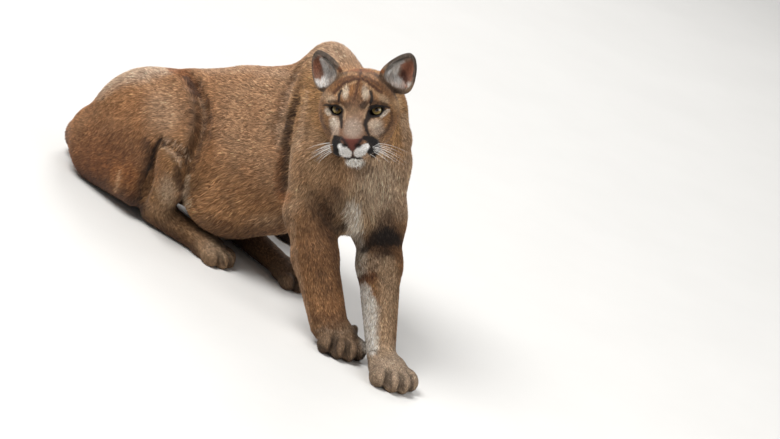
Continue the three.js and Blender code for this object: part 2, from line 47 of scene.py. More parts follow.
# The same named sizes as the solids, in millimetres: X forward, Y left, Z up, floor at 0.
EYE_RADIUS = 14.5
EYE_PLACE = (-11, 40, -1)
EYE_MIDDLE = (251, -152, 505)
HEAD_TURN = (-47.7, 4.3, 19.8)
EAR = {"radii": (17, 34, 43), "wall": 4.5, "taper": 0.42}
EARS = {"right": (-64, -71, 69, -28, 30), "left": (-62, 82, 68, 12, -32)}
PAW = {"long": 50, "wide": 41, "high": 33, "toe": (30, 18, 24), "spread": 11.5, "back": 17}
FORE_PAWS = {"right": (314, -36, -24), "left": (452, -8, -14)}
HIND_PAWS = {"right": (-100, -68, 14), "left": (5, 72, 6)}
HIND_GROW = 0.82
TAIL = [(-566, -96, 84), (-622, -74, 50), (-652, 0, 36), (-636, 90, 30), (-566, 165, 29),
        (-460, 212, 28), (-330, 234, 27), (-205, 240, 26)]
SIDES = (("right", -1), ("left", 1))
# Heights over the floor below which no skin and no tuft goes, and how far the head reaches
LOWEST_SKIN = 0.3
LOWEST_TUFT = 0.15
HEAD_REACH = 190

# Each kind of coat: depth over the skin, length, width and spacing of its tufts, and its colour
COATS = {
    "body": (3.7, 10, 1.9, 2.1, (172, 131, 96)),
    "haunch": (4, 10.5, 1.9, 2.1, (162, 116, 76)),
    "belly": (7.5, 22, 2.2, 2.5, (156, 113, 74)),
    "chest": (6, 16, 1.9, 2.2, (172, 140, 106)),
    "shoulder": (3.6, 9.5, 1.9, 2.05, (164, 127, 92)),
    "neck": (4.2, 11, 1.9, 2.05, (164, 121, 77)),
    "leg": (2.8, 8.5, 1.7, 1.9, (142, 102, 67)),
    "shank": (2.8, 9, 1.7, 1.85, (150, 110, 71)),
    "paw": (1.9, 5.8, 1.35, 1.45, (150, 121, 92)),
    "tail": (5, 14, 2.0, 2.15, (142, 102, 70)),
    "skull": (2.2, 6.2, 1.3, 1.45, (124, 82, 47)),
    "cheek": (2.5, 7, 1.3, 1.45, (138, 98, 61)),
    "brow": (1.2, 4.4, 1.0, 1.2, (142, 103, 68)),
    "bridge": (0.8, 3.4, 0.9, 1.05, (140, 112, 90)),
    "muzzle": (1.1, 4, 0.95, 1.05, (150, 116, 84)),
    "chin": (2.2, 7, 1.2, 1.3, (158, 124, 90)),
    "ear": (0.8, 4.5, 1.1, 1.2, (110, 92, 78)),
    "nose": (0.0, 2, 0.8, 1.2, (112, 54, 42)),
}


def linear(colour):
    c = np.asarray(colour, float) / 255
    return np.where(c <= 0.04045, c / 12.92, ((c + 0.055) / 1.055) ** 2.4)


def unit(v):
    v = np.asarray(v, float)
    return v / np.maximum(np.linalg.norm(v, axis=-1, keepdims=True), 1e-9)


def place(origin, yaw=0, pitch=0, roll=0):
    """A frame with X forward, Y left and Z up, turned by yaw, then pitch (nose up), then roll."""
    a, b, c = (math.radians(v) for v in (yaw, -pitch, roll))
    turn = Matrix.Rotation(a, 4, "Z") @ Matrix.Rotation(b, 4, "Y") @ Matrix.Rotation(c, 4, "X")
    out = np.array(turn)
    out[:3, 3] = origin
    return out


def into(at, points):
    return points @ at[:3, :3].T + at[:3, 3]


def out_of(at, points):
    return (points - at[:3, 3]) @ at[:3, :3]


BODY = place((0, 0, 0))
HEAD = place(EYE_MIDDLE, *HEAD_TURN)
shapes = []


def traits(coat, lie, at):
    depth, length, width, spacing, colour = COATS[coat]
    way = unit(np.asarray(lie, float) @ at[:3, :3].T)
    return np.array([depth, length, width, spacing, *linear(colour), *way])


def bone(a, b, radii, coat="body", lie=None, blend=30, flat=1, across=(0, 1, 0), at=BODY, cut=False):
    a, b = into(at, np.array([a, b], float))
    n = unit(at[:3, :3] @ np.array(across, float))
    if lie is None:
        lie, at = b - a, BODY
    shapes.append({
        "kind": "bone", "a": a, "ab": b - a, "length2": float((b - a) @ (b - a)), "n": n, "flat": flat,
        "r0": radii[0], "dr": radii[1] - radii[0], "blend": blend, "cut": cut, "middle": (a + b) / 2,
        "reach": np.linalg.norm(b - a) / 2 + max(radii) * max(1, flat) + blend,
        "traits": None if cut else traits(coat, lie, at),
    })


def lump(centre, radii, coat="body", lie=(-1, 0, 0), blend=30, turn=(0, 0, 0), at=BODY, cut=False):
    own = at @ place(centre, *turn)
    shapes.append({
        "kind": "lump", "own": own, "radii": np.array(radii, float), "taper": 0, "blend": blend, "cut": cut,
        "middle": own[:3, 3], "reach": max(radii) + blend,
        "traits": None if cut else traits(coat, lie, at),
    })


def cup(centre, coat, lie, turn, at):
    lump(centre, EAR["radii"], coat, lie, 6, turn, at)
    s = shapes[-1]
    x, y, z = EAR["radii"]
    wall = EAR["wall"]
    s["kind"] = "cup"
    s["taper"] = EAR["taper"]
    s["hollow"] = {"own": s["own"] @ place((x * 2, 0, 2)), "taper": EAR["taper"],
                   "radii": np.array([x * 3 - wall, y - wall, z - wall], float)}


def bone_distance(s, p):
    q = p - s["a"]
    t = np.clip(q @ s["ab"] / s["length2"], 0, 1)
    q = q - t[:, None] * s["ab"]
    d2 = np.einsum("ij,ij->i", q, q)
    if s["flat"] != 1:
        d2 = d2 + (q @ s["n"]) ** 2 * (1 / s["flat"] ** 2 - 1)
    return np.sqrt(d2) - (s["r0"] + t * s["dr"])


def lump_distance(s, p):
    q = out_of(s["own"], p) / s["radii"]
    if s["taper"]:
        q[:, 1] *= 1 + s["taper"] * np.clip(q[:, 2], -1, 1)
    k0 = np.sqrt(np.einsum("ij,ij->i", q, q))
    g = q / s["radii"]
    k1 = np.sqrt(np.einsum("ij,ij->i", g, g))
    return k0 * (k0 - 1) / np.maximum(k1, 1e-9)


def soft_min(a, b, blend):
    h = np.maximum(blend - np.abs(a - b), 0) / blend
    return np.minimum(a, b) - h * h * blend / 4


def distance(s, p):
    if s["kind"] == "bone":
        return bone_distance(s, p)
    own = lump_distance(s, p)
    return -soft_min(-own, lump_distance(s["hollow"], p), 3) if s["kind"] == "cup" else own


BLOCK = 40.0
near_block = {}


def near(key):
    if key not in near_block:
        middle = (np.array(key) + 0.5) * BLOCK
        near_block[key] = [s for s in shapes
                           if np.linalg.norm(middle - s["middle"]) < s["reach"] + BLOCK * 0.9 + 12]
    return near_block[key]


def field(points, want_traits=False):
    """Distance to the body's surface and, if wanted, the blend of the coat's traits there."""
    keys = np.floor(points / BLOCK).astype(np.int64)
    code = ((keys[:, 0] + 500) * 1000 + keys[:, 1] + 500) * 1000 + keys[:, 2] + 500
    order = np.argsort(code, kind="stable")
    cuts = np.flatnonzero(np.diff(code[order])) + 1
    d_all = np.empty(len(points))
    t_all = np.zeros((len(points), 10)) if want_traits else None
    for rows in np.split(order, cuts):
        p = points[rows]
        d = np.full(len(p), 1e3)
        total = np.full(len(p), 1e-30)
        mixed = np.zeros((len(p), 10)) if want_traits else None
        for s in near(tuple(int(v) for v in keys[rows[0]])):
            own = distance(s, p)
            if s["cut"]:
                d = -soft_min(-d, own, s["blend"])
                continue
            d = soft_min(d, own, s["blend"])
            if want_traits:
                weight = np.exp(-np.clip(own, -60, 200) / 7)
                total += weight
                mixed += weight[:, None] * s["traits"]
        d_all[rows] = d
        if want_traits:
            t_all[rows] = mixed / total[:, None]
    return (d_all, t_all) if want_traits else d_all


def inner(points):
    """Distance to the skin, which lies under the surface by the coat's depth, above the floor."""
    d, t = field(points, True)
    return np.maximum(d + t[:, 0], LOWEST_SKIN - points[:, 2])


def trunk():
    back = (-0.86, 0, -0.5)
    bone((-538, -100, 92), (-428, -68, 172), (68, 95), "haunch", (-0.9, 0, -0.4))
    bone((-425, -64, 188), (-215, -18, 262), (102, 129), "body", back, 60, 0.9)
    lump((-62, 0, 304), (225, 122, 159), "body", back, 70, (5, 31, 0))
    lump((-100, -10, 192), (185, 112, 118), "belly", (-0.72, 0, -0.7), 70, (5, 27, 0))
    lump((110, -10, 335), (110, 104, 120), "chest", (-0.6, 0, -0.8), 60, (0, 20, 0))
    lump((-22, 8, 463), (78, 50, 80), "shoulder", (-0.8, 0, -0.6), 40, (0, 31, 0))
    lump((-150, -50, 118), (95, 70, 72), "belly", (-0.72, 0, -0.7), 45)
    lump((185, -15, 265), (62, 62, 58), "chest", (-0.3, 0, -0.95), 30)


def shoulders():
    down = (-0.3, 0, -1)
    bone((-22, -42, 470), (152, -93, 345), (34, 60), "shoulder", (-0.45, -0.1, -0.9), 40, 0.7)
    bone((-10, 70, 460), (140, 70, 362), (34, 58), "shoulder", (-0.45, 0.1, -0.9), 40, 0.7)
    bone((152, -92, 340), (152, -88, 240), (58, 48), "shoulder", down, 45)
    bone((146, 70, 352), (190, 70, 250), (58, 52), "shoulder", down, 45)


def neck():
    bone((50, -5, 412), (140, -24, 458), (98, 86), "neck", (-0.8, 0.2, -0.6), 50)
    bone((140, -24, 458), (182, -84, 482), (84, 70), "neck", (-0.62, 0.45, -0.65), 30)
    bone((150, 30, 440), (178, 46, 420), (40, 36), "neck", (-0.3, 0.2, -0.9), 34)


def forelegs():
    bone((158, -88, 232), (202, -76, 160), (47, 46), "leg", blend=35)
    bone((202, -76, 160), (280, -52, 48), (47, 40), "leg", blend=20)
    bone((192, 70, 250), (263, 46, 176), (52, 46), "leg", blend=35)
    bone((263, 46, 176), (392, 6, 42), (46, 31), "leg", blend=20)


def hind_legs():
    thigh = (-0.35, 0, -0.94)
    shin = (-0.4, 0, -0.9)
    bone((-440, -110, 164), (-212, -146, 186), (98, 66), "haunch", thigh, 45, 0.76)
    bone((-490, -120, 78), (-330, -136, 84), (84, 66), "haunch", (-0.7, 0, -0.7), 40, 0.75)
    bone((-339, -70, 267), (-229, -77, 282), (63, 67), "haunch", (-0.75, 0, -0.66), 16)
    bone((-229, -77, 282), (-192, -113, 215), (67, 65), "haunch", (-0.5, 0, -0.85), 16)
    bone((-196, -158, 180), (-262, -116, 50), (50, 33), "shank", shin, 16)
    bone((-274, -110, 34), (-130, -78, 24), (33, 25), "shank", None, 16)
    bone((-442, -8, 168), (-205, 92, 180), (102, 68), "haunch", thigh, 45, 0.72)
    bone((-490, -2, 78), (-320, 48, 82), (82, 66), "haunch", (-0.7, 0, -0.7), 40, 0.75)
    bone((-185, 100, 176), (-218, 78, 50), (50, 33), "shank", shin, 16)
    bone((-228, 72, 34), (-35, 70, 25), (33, 25), "shank", None, 16)


# Creases of the loose skin: each runs along its points, with how deep it reaches at each.
CREASES = {
    "hip_top": ((-0.1, -0.7, 0.7), [(-332, -99, 330, 4), (-291, -108, 324, 6), (-250, -118, 317, 7),
        (-212, -129, 303, 8)]),
    "hip_front": ((0.45, -0.68, 0.58), [(-212, -129, 303, 8), (-187, -136, 281, 8), (-169, -145, 256, 8),
        (-155, -156, 232, 7)]),
    "thigh_front": ((0.8, -0.4, 0.3), [(-155, -156, 232, 7), (-144, -164, 208, 6), (-142, -168, 181, 5),
        (-150, -163, 149, 4)]),
    "thigh_side": ((0, -1, -0.1), [(-248, -187, 205, 6), (-244, -192, 174, 9), (-246, -187, 143, 10),
        (-259, -172, 107, 9), (-272, -162, 70, 7)]),
    "over_knee": ((0.2, -0.8, 0.5), [(-229, -193, 208, 3), (-191, -197, 217, 5), (-165, -189, 211, 5),
        (-148, -176, 192, 4)]),
    "behind_shoulder": ((0, -1, 0), [(13, -101, 450, 3), (29, -111, 420, 5), (34, -111, 386, 6),
        (44, -113, 355, 8), (53, -111, 322, 8), (62, -107, 291, 7), (70, -100, 259, 7)]),
    "shoulder_blade": ((-0.2, -0.9, 0.2), [(-48, -67, 482, 3), (-32, -84, 442, 5), (-13, -104, 406, 5),
        (2, -114, 366, 5), (16, -116, 323, 3)]),
    "throat": ((0.9, -0.4, 0.1), [(185, -140, 307, 3), (201, -120, 284, 5), (211, -100, 256, 7),
        (222, -77, 236, 7), (230, -57, 250, 4)]),
}


def creases():
    for across, run in CREASES.values():
        for a, b in zip(run, run[1:]):
            bone(a[:3], b[:3], (a[3], b[3]), blend=20, flat=1.5, across=across, cut=True)


def paw(x, y, heading, grow, inward):
    at = place((x, y, -2), heading)

    def sized(*values):
        return tuple(v * grow for v in values)

    lump(sized(-14, 0, 28), sized(PAW["long"], PAW["wide"], PAW["high"]), "paw", (1, 0, -0.25), 18, at=at)
    for side in (-1.5, -0.5, 0.5, 1.5):
        out = side * 2 * PAW["spread"]
        back = PAW["back"] if abs(side) > 1 else 0
        lump(sized(32 - back, out, 22), sized(*PAW["toe"]), "paw", (1, 0, -0.35), 8, (side * 7, 0, 0), at)
    for side in (-1, 0, 1):
        out = side * 2 * PAW["spread"]
        back = PAW["back"] / 2 if side else 0
        bone(sized(30 - back, out, 51), sized(64 - back, out * 1.1, 10), sized(3, 4),
             blend=6, at=at, cut=True)
    if inward:
        lump(sized(-34, 33 * inward, 42), (13, 9, 13), "paw", (1, 0, -0.35), 8, at=at)


def curve_points(knots, steps):
    """Evenly spaced points on the smooth curve through the knots."""
    k = np.array(knots, float)
    ends = np.vstack([2 * k[0] - k[1], k, 2 * k[-1] - k[-2]])
    line = []
    for i in range(1, len(ends) - 2):
        p0, p1, p2, p3 = ends[i - 1:i + 3]
        t0, t1, t2 = (max(np.linalg.norm(b - a), 1e-6) ** 0.5 for a, b in ((p0, p1), (p1, p2), (p2, p3)))
        m1 = t1 * ((p1 - p0) / t0 - (p2 - p0) / (t0 + t1) + (p2 - p1) / t1)
        m2 = t1 * ((p2 - p1) / t1 - (p3 - p1) / (t1 + t2) + (p3 - p2) / t2)
        for u in np.arange(0, 1, 0.02):
            c2 = -3 * p1 + 3 * p2 - 2 * m1 - m2
            c3 = 2 * p1 - 2 * p2 + m1 + m2
            line.append(p1 + m1 * u + c2 * u * u + c3 * u ** 3)
    line = np.array(line + [k[-1]])
    run = np.concatenate([[0], np.cumsum(np.linalg.norm(np.diff(line, axis=0), axis=1))])
    want = np.linspace(0, run[-1], steps + 1)
    return np.stack([np.interp(want, run, line[:, i]) for i in range(3)], 1)


def tail():
    steps = 22
    points = curve_points(TAIL, steps)
    thick = [38 - 11 * min(1, 2.2 * i / steps) for i in range(steps + 1)]
    for i in range(steps):
        bone(points[i], points[i + 1], (thick[i], thick[i + 1]), "tail", blend=30 if i < 4 else 12)


def skull():
    at = HEAD
    lump((-60, 0, 8), (72, 62, 62), "skull", (-1, 0, -0.1), 40, at=at)
    lump((-34, 0, 22), (44, 48, 34), "skull", (-1, 0, 0.1), 25, at=at)
    bone((-8, 0, -2), (68, 0, -49), (27, 18), "bridge", (-1, 0, 0.5), 26, at=at)
    bone((5, 0, -50), (46, 0, -66), (40, 29), "cheek", (-1, 0, -0.3), 24, at=at)
    bone((-55, 0, -60), (48, 0, -91), (38, 16), "chin", (-0.9, 0, -0.4), 14, 1.05, at=at)
    for _, s in SIDES:
        lump((-46, 48 * s, -12), (50, 31, 38), "cheek", (-0.8, 0.4 * s, -0.45), 30, at=at)
        lump((-38, 38 * s, -46), (44, 27, 32), "cheek", (-0.8, 0.2 * s, -0.55), 26, at=at)
        lump((-8, 33 * s, 18), (24, 22, 13), "brow", (-0.8, 0.1 * s, 0.6), 16, at=at)
        lump((-8, 40 * s, -26), (26, 20, 16), "brow", (-0.7, 0.6 * s, -0.35), 20, at=at)
        lump((24, 20 * s, -42), (34, 22, 22), "bridge", (-0.8, 0.6 * s, -0.1), 20, at=at)
        lump((52, 21 * s, -67), (29, 23, 19), "muzzle", (-0.6, 0.7 * s, -0.3), 8, (14 * s, 0, 0), at)
        lump((34, 28 * s, -60), (24, 20, 19), "muzzle", (-0.8, 0.5 * s, -0.3), 12, (14 * s, 0, 0), at)
    lump((74, 0, -49), (14, 22, 10), "nose", (-1, 0, 0.2), 6, at=at)
    lump((76, 0, -60), (12, 12, 12), "nose", (-1, 0, 0.2), 6, at=at)


def face():
    at = HEAD
    x, y, z = EYE_PLACE
    for side, s in SIDES:
        lump((x, y * s, z), (18, 18.5, 17.5), "brow", (-0.7, 0.6 * s, 0.2), 9, at=at)
        lump((x + 16, (y - 2) * s, z - 0.5), (13, 15, 7.4),
             blend=3, turn=(10 * s, 0, 18 * s), at=at, cut=True)
        ear = EARS[side]
        cup(ear[:3], "ear", (-0.2, 0.15 * s, 1), (ear[3], 0, ear[4]), at)
        bone((92, 8 * s, -57), (78, 15 * s, -58), (4, 2.8), blend=2, at=at, cut=True)
        bone((88, 0, -68), (77, 2 * s, -87), (2.6, 3.2), blend=2, at=at, cut=True)
        bone((77, 2 * s, -87), (58, 25 * s, -88), (3.8, 3.4), blend=2, at=at, cut=True)
        bone((58, 25 * s, -88), (16, 42 * s, -81), (3.4, 2.6), blend=2, at=at, cut=True)


trunk()
shoulders()
neck()
hind_legs()
tail()
forelegs()
creases()
for side, s in SIDES:
    paw(*FORE_PAWS[side], 1, -s)
for side, s in SIDES:
    paw(*HIND_PAWS[side], HIND_GROW, 0)
skull()
face()

# From the body's own millimetres to the frame's, by where the left eye sits in each
FRAME_EYE = np.mean([list(corner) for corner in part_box("eye_left")], 0) * 1000
SHIFT = FRAME_EYE - into(HEAD, np.array([EYE_PLACE], float))[0]


def metres(points):
    return (points + SHIFT) / 1000


# The camera stands where the photograph was taken from.
ALPHA, ELEVATION, ROLL = (math.radians(v) for v in (45, 17, 20))
PIXELS_PER_MM = 0.49
FAR = 7000
# The photograph's width and middle in pixels, and a place under the right forepaw in body and photograph
PHOTO_WIDE = 780
PHOTO_MIDDLE = (390, 219.5)
PAW_PLACE = (330, -25, 0)
PAW_PIXEL = (345, 355)


def view_axes():
    level = np.array([math.cos(ALPHA), -math.sin(ALPHA), 0])
    back = math.cos(ELEVATION) * level + math.sin(ELEVATION) * np.array([0, 0, 1])
    right = np.array([math.sin(ALPHA), math.cos(ALPHA), 0])
    up = -math.sin(ELEVATION) * level + math.cos(ELEVATION) * np.array([0, 0, 1])
    x = math.cos(ROLL) * right + math.sin(ROLL) * up
    y = -math.sin(ROLL) * right + math.cos(ROLL) * up
    return x, y, back


VIEW_X, VIEW_Y, VIEW_Z = view_axes()
AIM = np.array(PAW_PLACE) + VIEW_X * (PHOTO_MIDDLE[0] - PAW_PIXEL[0]) / PIXELS_PER_MM \
    + VIEW_Y * (PAW_PIXEL[1] - PHOTO_MIDDLE[1]) / PIXELS_PER_MM
STAND = AIM + FAR * VIEW_Z


def make_camera():
    camera = bpy.data.objects.new("camera", bpy.data.cameras.new("camera"))
    bpy.context.scene.collection.objects.link(camera)
    m = np.eye(4)
    m[:3, 0], m[:3, 1], m[:3, 2], m[:3, 3] = VIEW_X, VIEW_Y, VIEW_Z, metres(STAND)
    camera.matrix_world = Matrix(m.tolist())
    camera.data.sensor_width = 36
    camera.data.lens = 36 * PIXELS_PER_MM * FAR / PHOTO_WIDE
    camera.data.clip_end = 100
    bpy.context.scene.camera = camera


def on_side(points):
    """Points of the body as pixels across and down in the photograph, by the camera's projection."""
    d = points - STAND
    k = PIXELS_PER_MM * FAR / -(d @ VIEW_Z)
    return np.stack([PHOTO_MIDDLE[0] + k * (d @ VIEW_X), PHOTO_MIDDLE[1] - k * (d @ VIEW_Y)], 1)


def smooth(low, high, value):
    t = np.clip((value - low) / (high - low), 0, 1)
    return t * t * (3 - 2 * t)


def noise(points, size, seed=0):
    """Smooth noise from -1 to 1 with features of the given size."""
    p = points / size + seed * 17.3
    cell = np.floor(p).astype(np.int64)
    f = p - cell
    f = f * f * (3 - 2 * f)
    total = np.zeros(len(p))
    for corner in range(8):
        step = np.array([corner & 1, corner >> 1 & 1, corner >> 2])
        c = cell + step
        h = (c[:, 0] * 73856093) ^ (c[:, 1] * 19349663) ^ (c[:, 2] * 83492791)
        h = (h ^ (h >> 13)) * 1274126177 & 0x7FFFFFFF
        weight = np.prod(np.where(step, f, 1 - f), axis=1)
        total += weight * (h % 65536 / 32768 - 1)
    return total


# Skin
def steps_along(low, high, coarse, bands):
    """Grid lines from low to high, finer inside the bands."""
    lines = [low]
    while lines[-1] < high:
        x = lines[-1]
        size = coarse
        for a, b, fine in bands:
            if a - coarse < x < b:
                size = min(size, fine)
        lines.append(x + size)
    return np.array(lines)


def part_corners(values, step):
    again = True
    while again:
        again = False
        inside = values < 0
        for u, v in ((0, 1), (1, 2), (0, 2)):
            low = [slice(None)] * 3
            low[u] = low[v] = slice(0, -1)
            at_u, at_v, at_w = list(low), list(low), list(low)
            at_u[u] = at_w[u] = slice(1, None)
            at_v[v] = at_w[v] = slice(1, None)
            a, b, c, d = (inside[tuple(i)] for i in (low, at_u, at_w, at_v))
            for bad, first in (((a & c & ~b & ~d), at_u), ((b & d & ~a & ~c), low)):
                if bad.any():
                    cells = values[tuple(first)]
                    cells[bad] = -0.05 * step
                    again = True


def skin_net():
    xs = steps_along(-706, 522, 5.6, [(148, 336, 2.3)])
    ys = steps_along(-296, 286, 5.6, [(-286, -36, 2.3)])
    zs = steps_along(-6, 654, 5.6, [(-6, 66, 4.2), (392, 640, 2.3)])
    size = 10
    values = np.full((len(xs), len(ys), len(zs)), 9.0)
    starts = [range(0, len(line), size) for line in (xs, ys, zs)]
    boxes = [(i, j, k) for i in starts[0] for j in starts[1] for k in starts[2]]
    middles, halves = [], []
    for i, j, k in boxes:
        low = np.array([xs[i], ys[j], zs[k]])
        high = np.array([xs[min(i + size, len(xs)) - 1], ys[min(j + size, len(ys)) - 1],
                         zs[min(k + size, len(zs)) - 1]])
        middles.append((low + high) / 2)
        halves.append(np.linalg.norm(high - low) / 2)
    middles, halves = np.array(middles), np.array(halves)
    at_middle = field(middles)
    todo = []
    for (i, j, k), d, half in zip(boxes, at_middle, halves):
        part = (slice(i, i + size), slice(j, j + size), slice(k, k + size))
        if abs(d) > half * 1.9 + 16:
            values[part] = np.sign(d) * 9
        else:
            todo.append(part)
    grids = [np.stack(np.meshgrid(xs[a], ys[b], zs[c], indexing="ij"), -1).reshape(-1, 3) for a, b, c in todo]
    found = inner(np.concatenate(grids))
    at = 0
    for part, grid in zip(todo, grids):
        values[part] = found[at:at + len(grid)].reshape(values[part].shape)
        at += len(grid)
    for axis in range(3):
        edge = [slice(None)] * 3
        for end in (0, -1):
            edge[axis] = end
            values[tuple(edge)] = 9
    part_corners(values, 2)
    inside = values < 0
    count = np.zeros(tuple(n - 1 for n in values.shape), np.uint8)
    for corner in range(8):
        i, j, k = corner & 1, corner >> 1 & 1, corner >> 2
        count += inside[i:i + count.shape[0], j:j + count.shape[1], k:k + count.shape[2]]
    active = np.argwhere((count > 0) & (count < 8))
    lines = (xs, ys, zs)
    total = np.zeros((len(active), 3))
    crossed = np.zeros(len(active))
    for corner in range(8):
        step = np.array([corner & 1, corner >> 1 & 1, corner >> 2])
        a = active + step
        va = values[a[:, 0], a[:, 1], a[:, 2]]
        pa = np.stack([lines[m][a[:, m]] for m in range(3)], 1)
        for axis in range(3):
            if step[axis]:
                continue
            b = a.copy()
            b[:, axis] += 1
            vb = values[b[:, 0], b[:, 1], b[:, 2]]
            hit = (va < 0) != (vb < 0)
            t = np.where(hit, va / np.where(hit, va - vb, 1), 0)
            p = pa.copy()
            p[:, axis] += t * (lines[axis][b[:, axis]] - pa[:, axis])
            total += np.where(hit[:, None], p, 0)
            crossed += hit
    points = total / crossed[:, None]
    index = np.full(count.shape, -1, np.int64)
    index[tuple(active.T)] = np.arange(len(active))
    faces = []
    for axis in range(3):
        u, v = (axis + 1) % 3, (axis + 2) % 3
        low = [slice(1, -1)] * 3
        high = list(low)
        low[axis], high[axis] = slice(0, -1), slice(1, None)
        a, b = inside[tuple(low)], inside[tuple(high)]
        where = np.argwhere(a != b)
        starts_at = np.array([1, 1, 1])
        starts_at[axis] = 0
        cells = where + starts_at
        flip = ~a[tuple(where.T)]

        def cell(du, dv):
            c = cells.copy()
            c[:, u] -= du
            c[:, v] -= dv
            return index[tuple(c.T)]

        p, q, r, s = cell(1, 1), cell(0, 1), cell(0, 0), cell(1, 0)
        quad = np.stack([p, q, r, s], 1)
        quad[flip] = quad[flip][:, [0, 3, 2, 1]]
        faces.append(quad)
    quads = np.concatenate(faces)
    return points, quads


def slope(points, h=0.5):
    out = np.empty_like(points)
    for axis in range(3):
        step = np.zeros(3)
        step[axis] = h
        out[:, axis] = inner(points + step) - inner(points - step)
    return out / (2 * h)


def fit_skin(points, turns=3):
    for _ in range(turns):
        g = slope(points)
        move = (-inner(points) / np.maximum((g * g).sum(1), 0.25))[:, None] * g
        far = np.linalg.norm(move, axis=1, keepdims=True)
        points = points + move * np.minimum(1, 1.2 / np.maximum(far, 1e-9))
    return points


def new_mesh(name, points, corners, size):
    """A mesh object from points in metres and faces of the same number of corners."""
    mesh = bpy.data.meshes.new(name)
    mesh.vertices.add(len(points))
    mesh.vertices.foreach_set("co", np.ascontiguousarray(points, np.float32).ravel())
    mesh.loops.add(corners.size)
    mesh.loops.foreach_set("vertex_index", np.ascontiguousarray(corners, np.int32).ravel())
    mesh.polygons.add(len(corners))
    mesh.polygons.foreach_set("loop_start", np.arange(0, corners.size, size, dtype=np.int32))
    mesh.update(calc_edges=True)
    mesh.shade_smooth()
    piece = bpy.data.objects.new(name, mesh)
    bpy.context.scene.collection.objects.link(piece)
    return piece


def paint(mesh, name, values):
    layer = mesh.color_attributes.new(name, "FLOAT_COLOR", "POINT")
    four = np.ones((len(values), 4), np.float32)
    four[:, :3] = values
    layer.data.foreach_set("color", four.ravel())


# Markings
def blot(centre, radii, colour, amount, soft):
    """A round mark at a place of the body, on whatever side it lies."""
    def mask(p):
        q = np.linalg.norm((p - np.array(centre, float)) / np.array(radii, float), axis=1)
        return amount * (1 - smooth(1 - soft, 1 + soft, q))
    return mask, linear(colour)


def stroke(a, b, radii, colour, amount, soft):
    """A long mark from one place of the body to another."""
    a, b = np.array([a, b], float)

    def mask(p):
        t = np.clip((p - a) @ (b - a) / ((b - a) @ (b - a)), 0, 1)
        d = np.linalg.norm(p - a - t[:, None] * (b - a), axis=1)
        return amount * (1 - smooth(1 - soft, 1 + soft, d / (radii[0] + t * (radii[1] - radii[0]))))
    return mask, linear(colour)


RUST = (142, 88, 52)
BLACK = (30, 23, 20)
WHITE = (238, 234, 228)
DARK = (58, 38, 27)

# Marks all round the body, by place
BODY_MARKS = {
    "spine_fore": stroke((80, 0, 500), (-190, -6, 425), (50, 60), (146, 98, 66), 0.3, 0.8),
    "spine_hind": stroke((-190, -6, 425), (-490, -90, 250), (60, 44), (146, 98, 66), 0.3, 0.8),
    # Painted shade: the coat under the rump, near the floor, made darker.
    "rump_under_shade": blot((-420, 20, 60), (150, 90, 60), (96, 58, 36), 0.6, 0.6),
    "belly_pale": blot((-60, 60, 110), (170, 70, 50), (196, 168, 138), 0.5, 0.7),
    # Painted shade: the far (left) shin made darker, as shade under the belly.
    "left_shin_shade": blot((-230, 96, 60), (120, 70, 70), (104, 74, 50), 0.5, 0.6),
    # Painted shadow: the left hind foot made darker, as in the belly's shadow.
    "left_hind_foot_shadow": stroke((-228, 72, 34), (20, 72, 20), (50, 50), (88, 62, 44), 0.7, 0.6),
    # Painted shade: the far side of the left upper foreleg made darker.
    "left_arm_shade": blot((190, 128, 240), (30, 20, 50), (120, 84, 58), 0.5, 0.7),
    "right_hind_foot": stroke((-274, -130, 40), (-150, -96, 50), (30, 22), (160, 126, 94), 0.6, 0.6),
    "right_hind_sole": stroke((-290, -130, 12), (-130, -100, 8), (26, 20), (70, 50, 38), 0.6, 0.6),
    "right_hind_toes": blot((-92, -68, 40), (44, 40, 30), (158, 128, 100), 0.6, 0.6),
    "left_forepaw": blot((452, -8, 34), (84, 66, 40), (190, 166, 142), 0.75, 0.5),
    "right_forepaw": blot((350, -50, 36), (60, 60, 34), (146, 118, 92), 0.6, 0.5),
    "tail_tip": stroke((-300, 236, 27), (-180, 242, 26), (34, 34), (46, 34, 27), 0.92, 0.25),
}


def spot(centre, radii, colour, amount=1.0, soft=0.4, turn=0):
    """An oval mark on the side in view, turned by so many degrees."""
    c, s = math.cos(math.radians(turn)), math.sin(math.radians(turn))

    def mask(f):
        d = f - np.array(centre, float)
        q = np.stack([(d[:, 0] * c + d[:, 1] * s) / radii[0], (-d[:, 0] * s + d[:, 1] * c) / radii[1]], 1)
        return amount * (1 - smooth(1 - soft, 1 + soft, np.linalg.norm(q, axis=1)))
    return mask, linear(colour)


def line(run, colour, amount=1.0, soft=0.5):
    """A drawn line on the side in view, through points of across, down and half its width."""
    def mask(f):
        best = np.full(len(f), 9.0)
        for (ax, ay, ar), (bx, by, br) in zip(run, run[1:]):
            a, d = np.array([ax, ay], float), np.array([bx - ax, by - ay], float)
            t = np.clip((f - a) @ d / max(d @ d, 1e-6), 0, 1)
            away = np.linalg.norm(f - a - t[:, None] * d, axis=1)
            best = np.minimum(best, away / (ar + t * (br - ar)))
        return amount * (1 - smooth(1 - soft, 1 + soft, best))
    return mask, linear(colour)


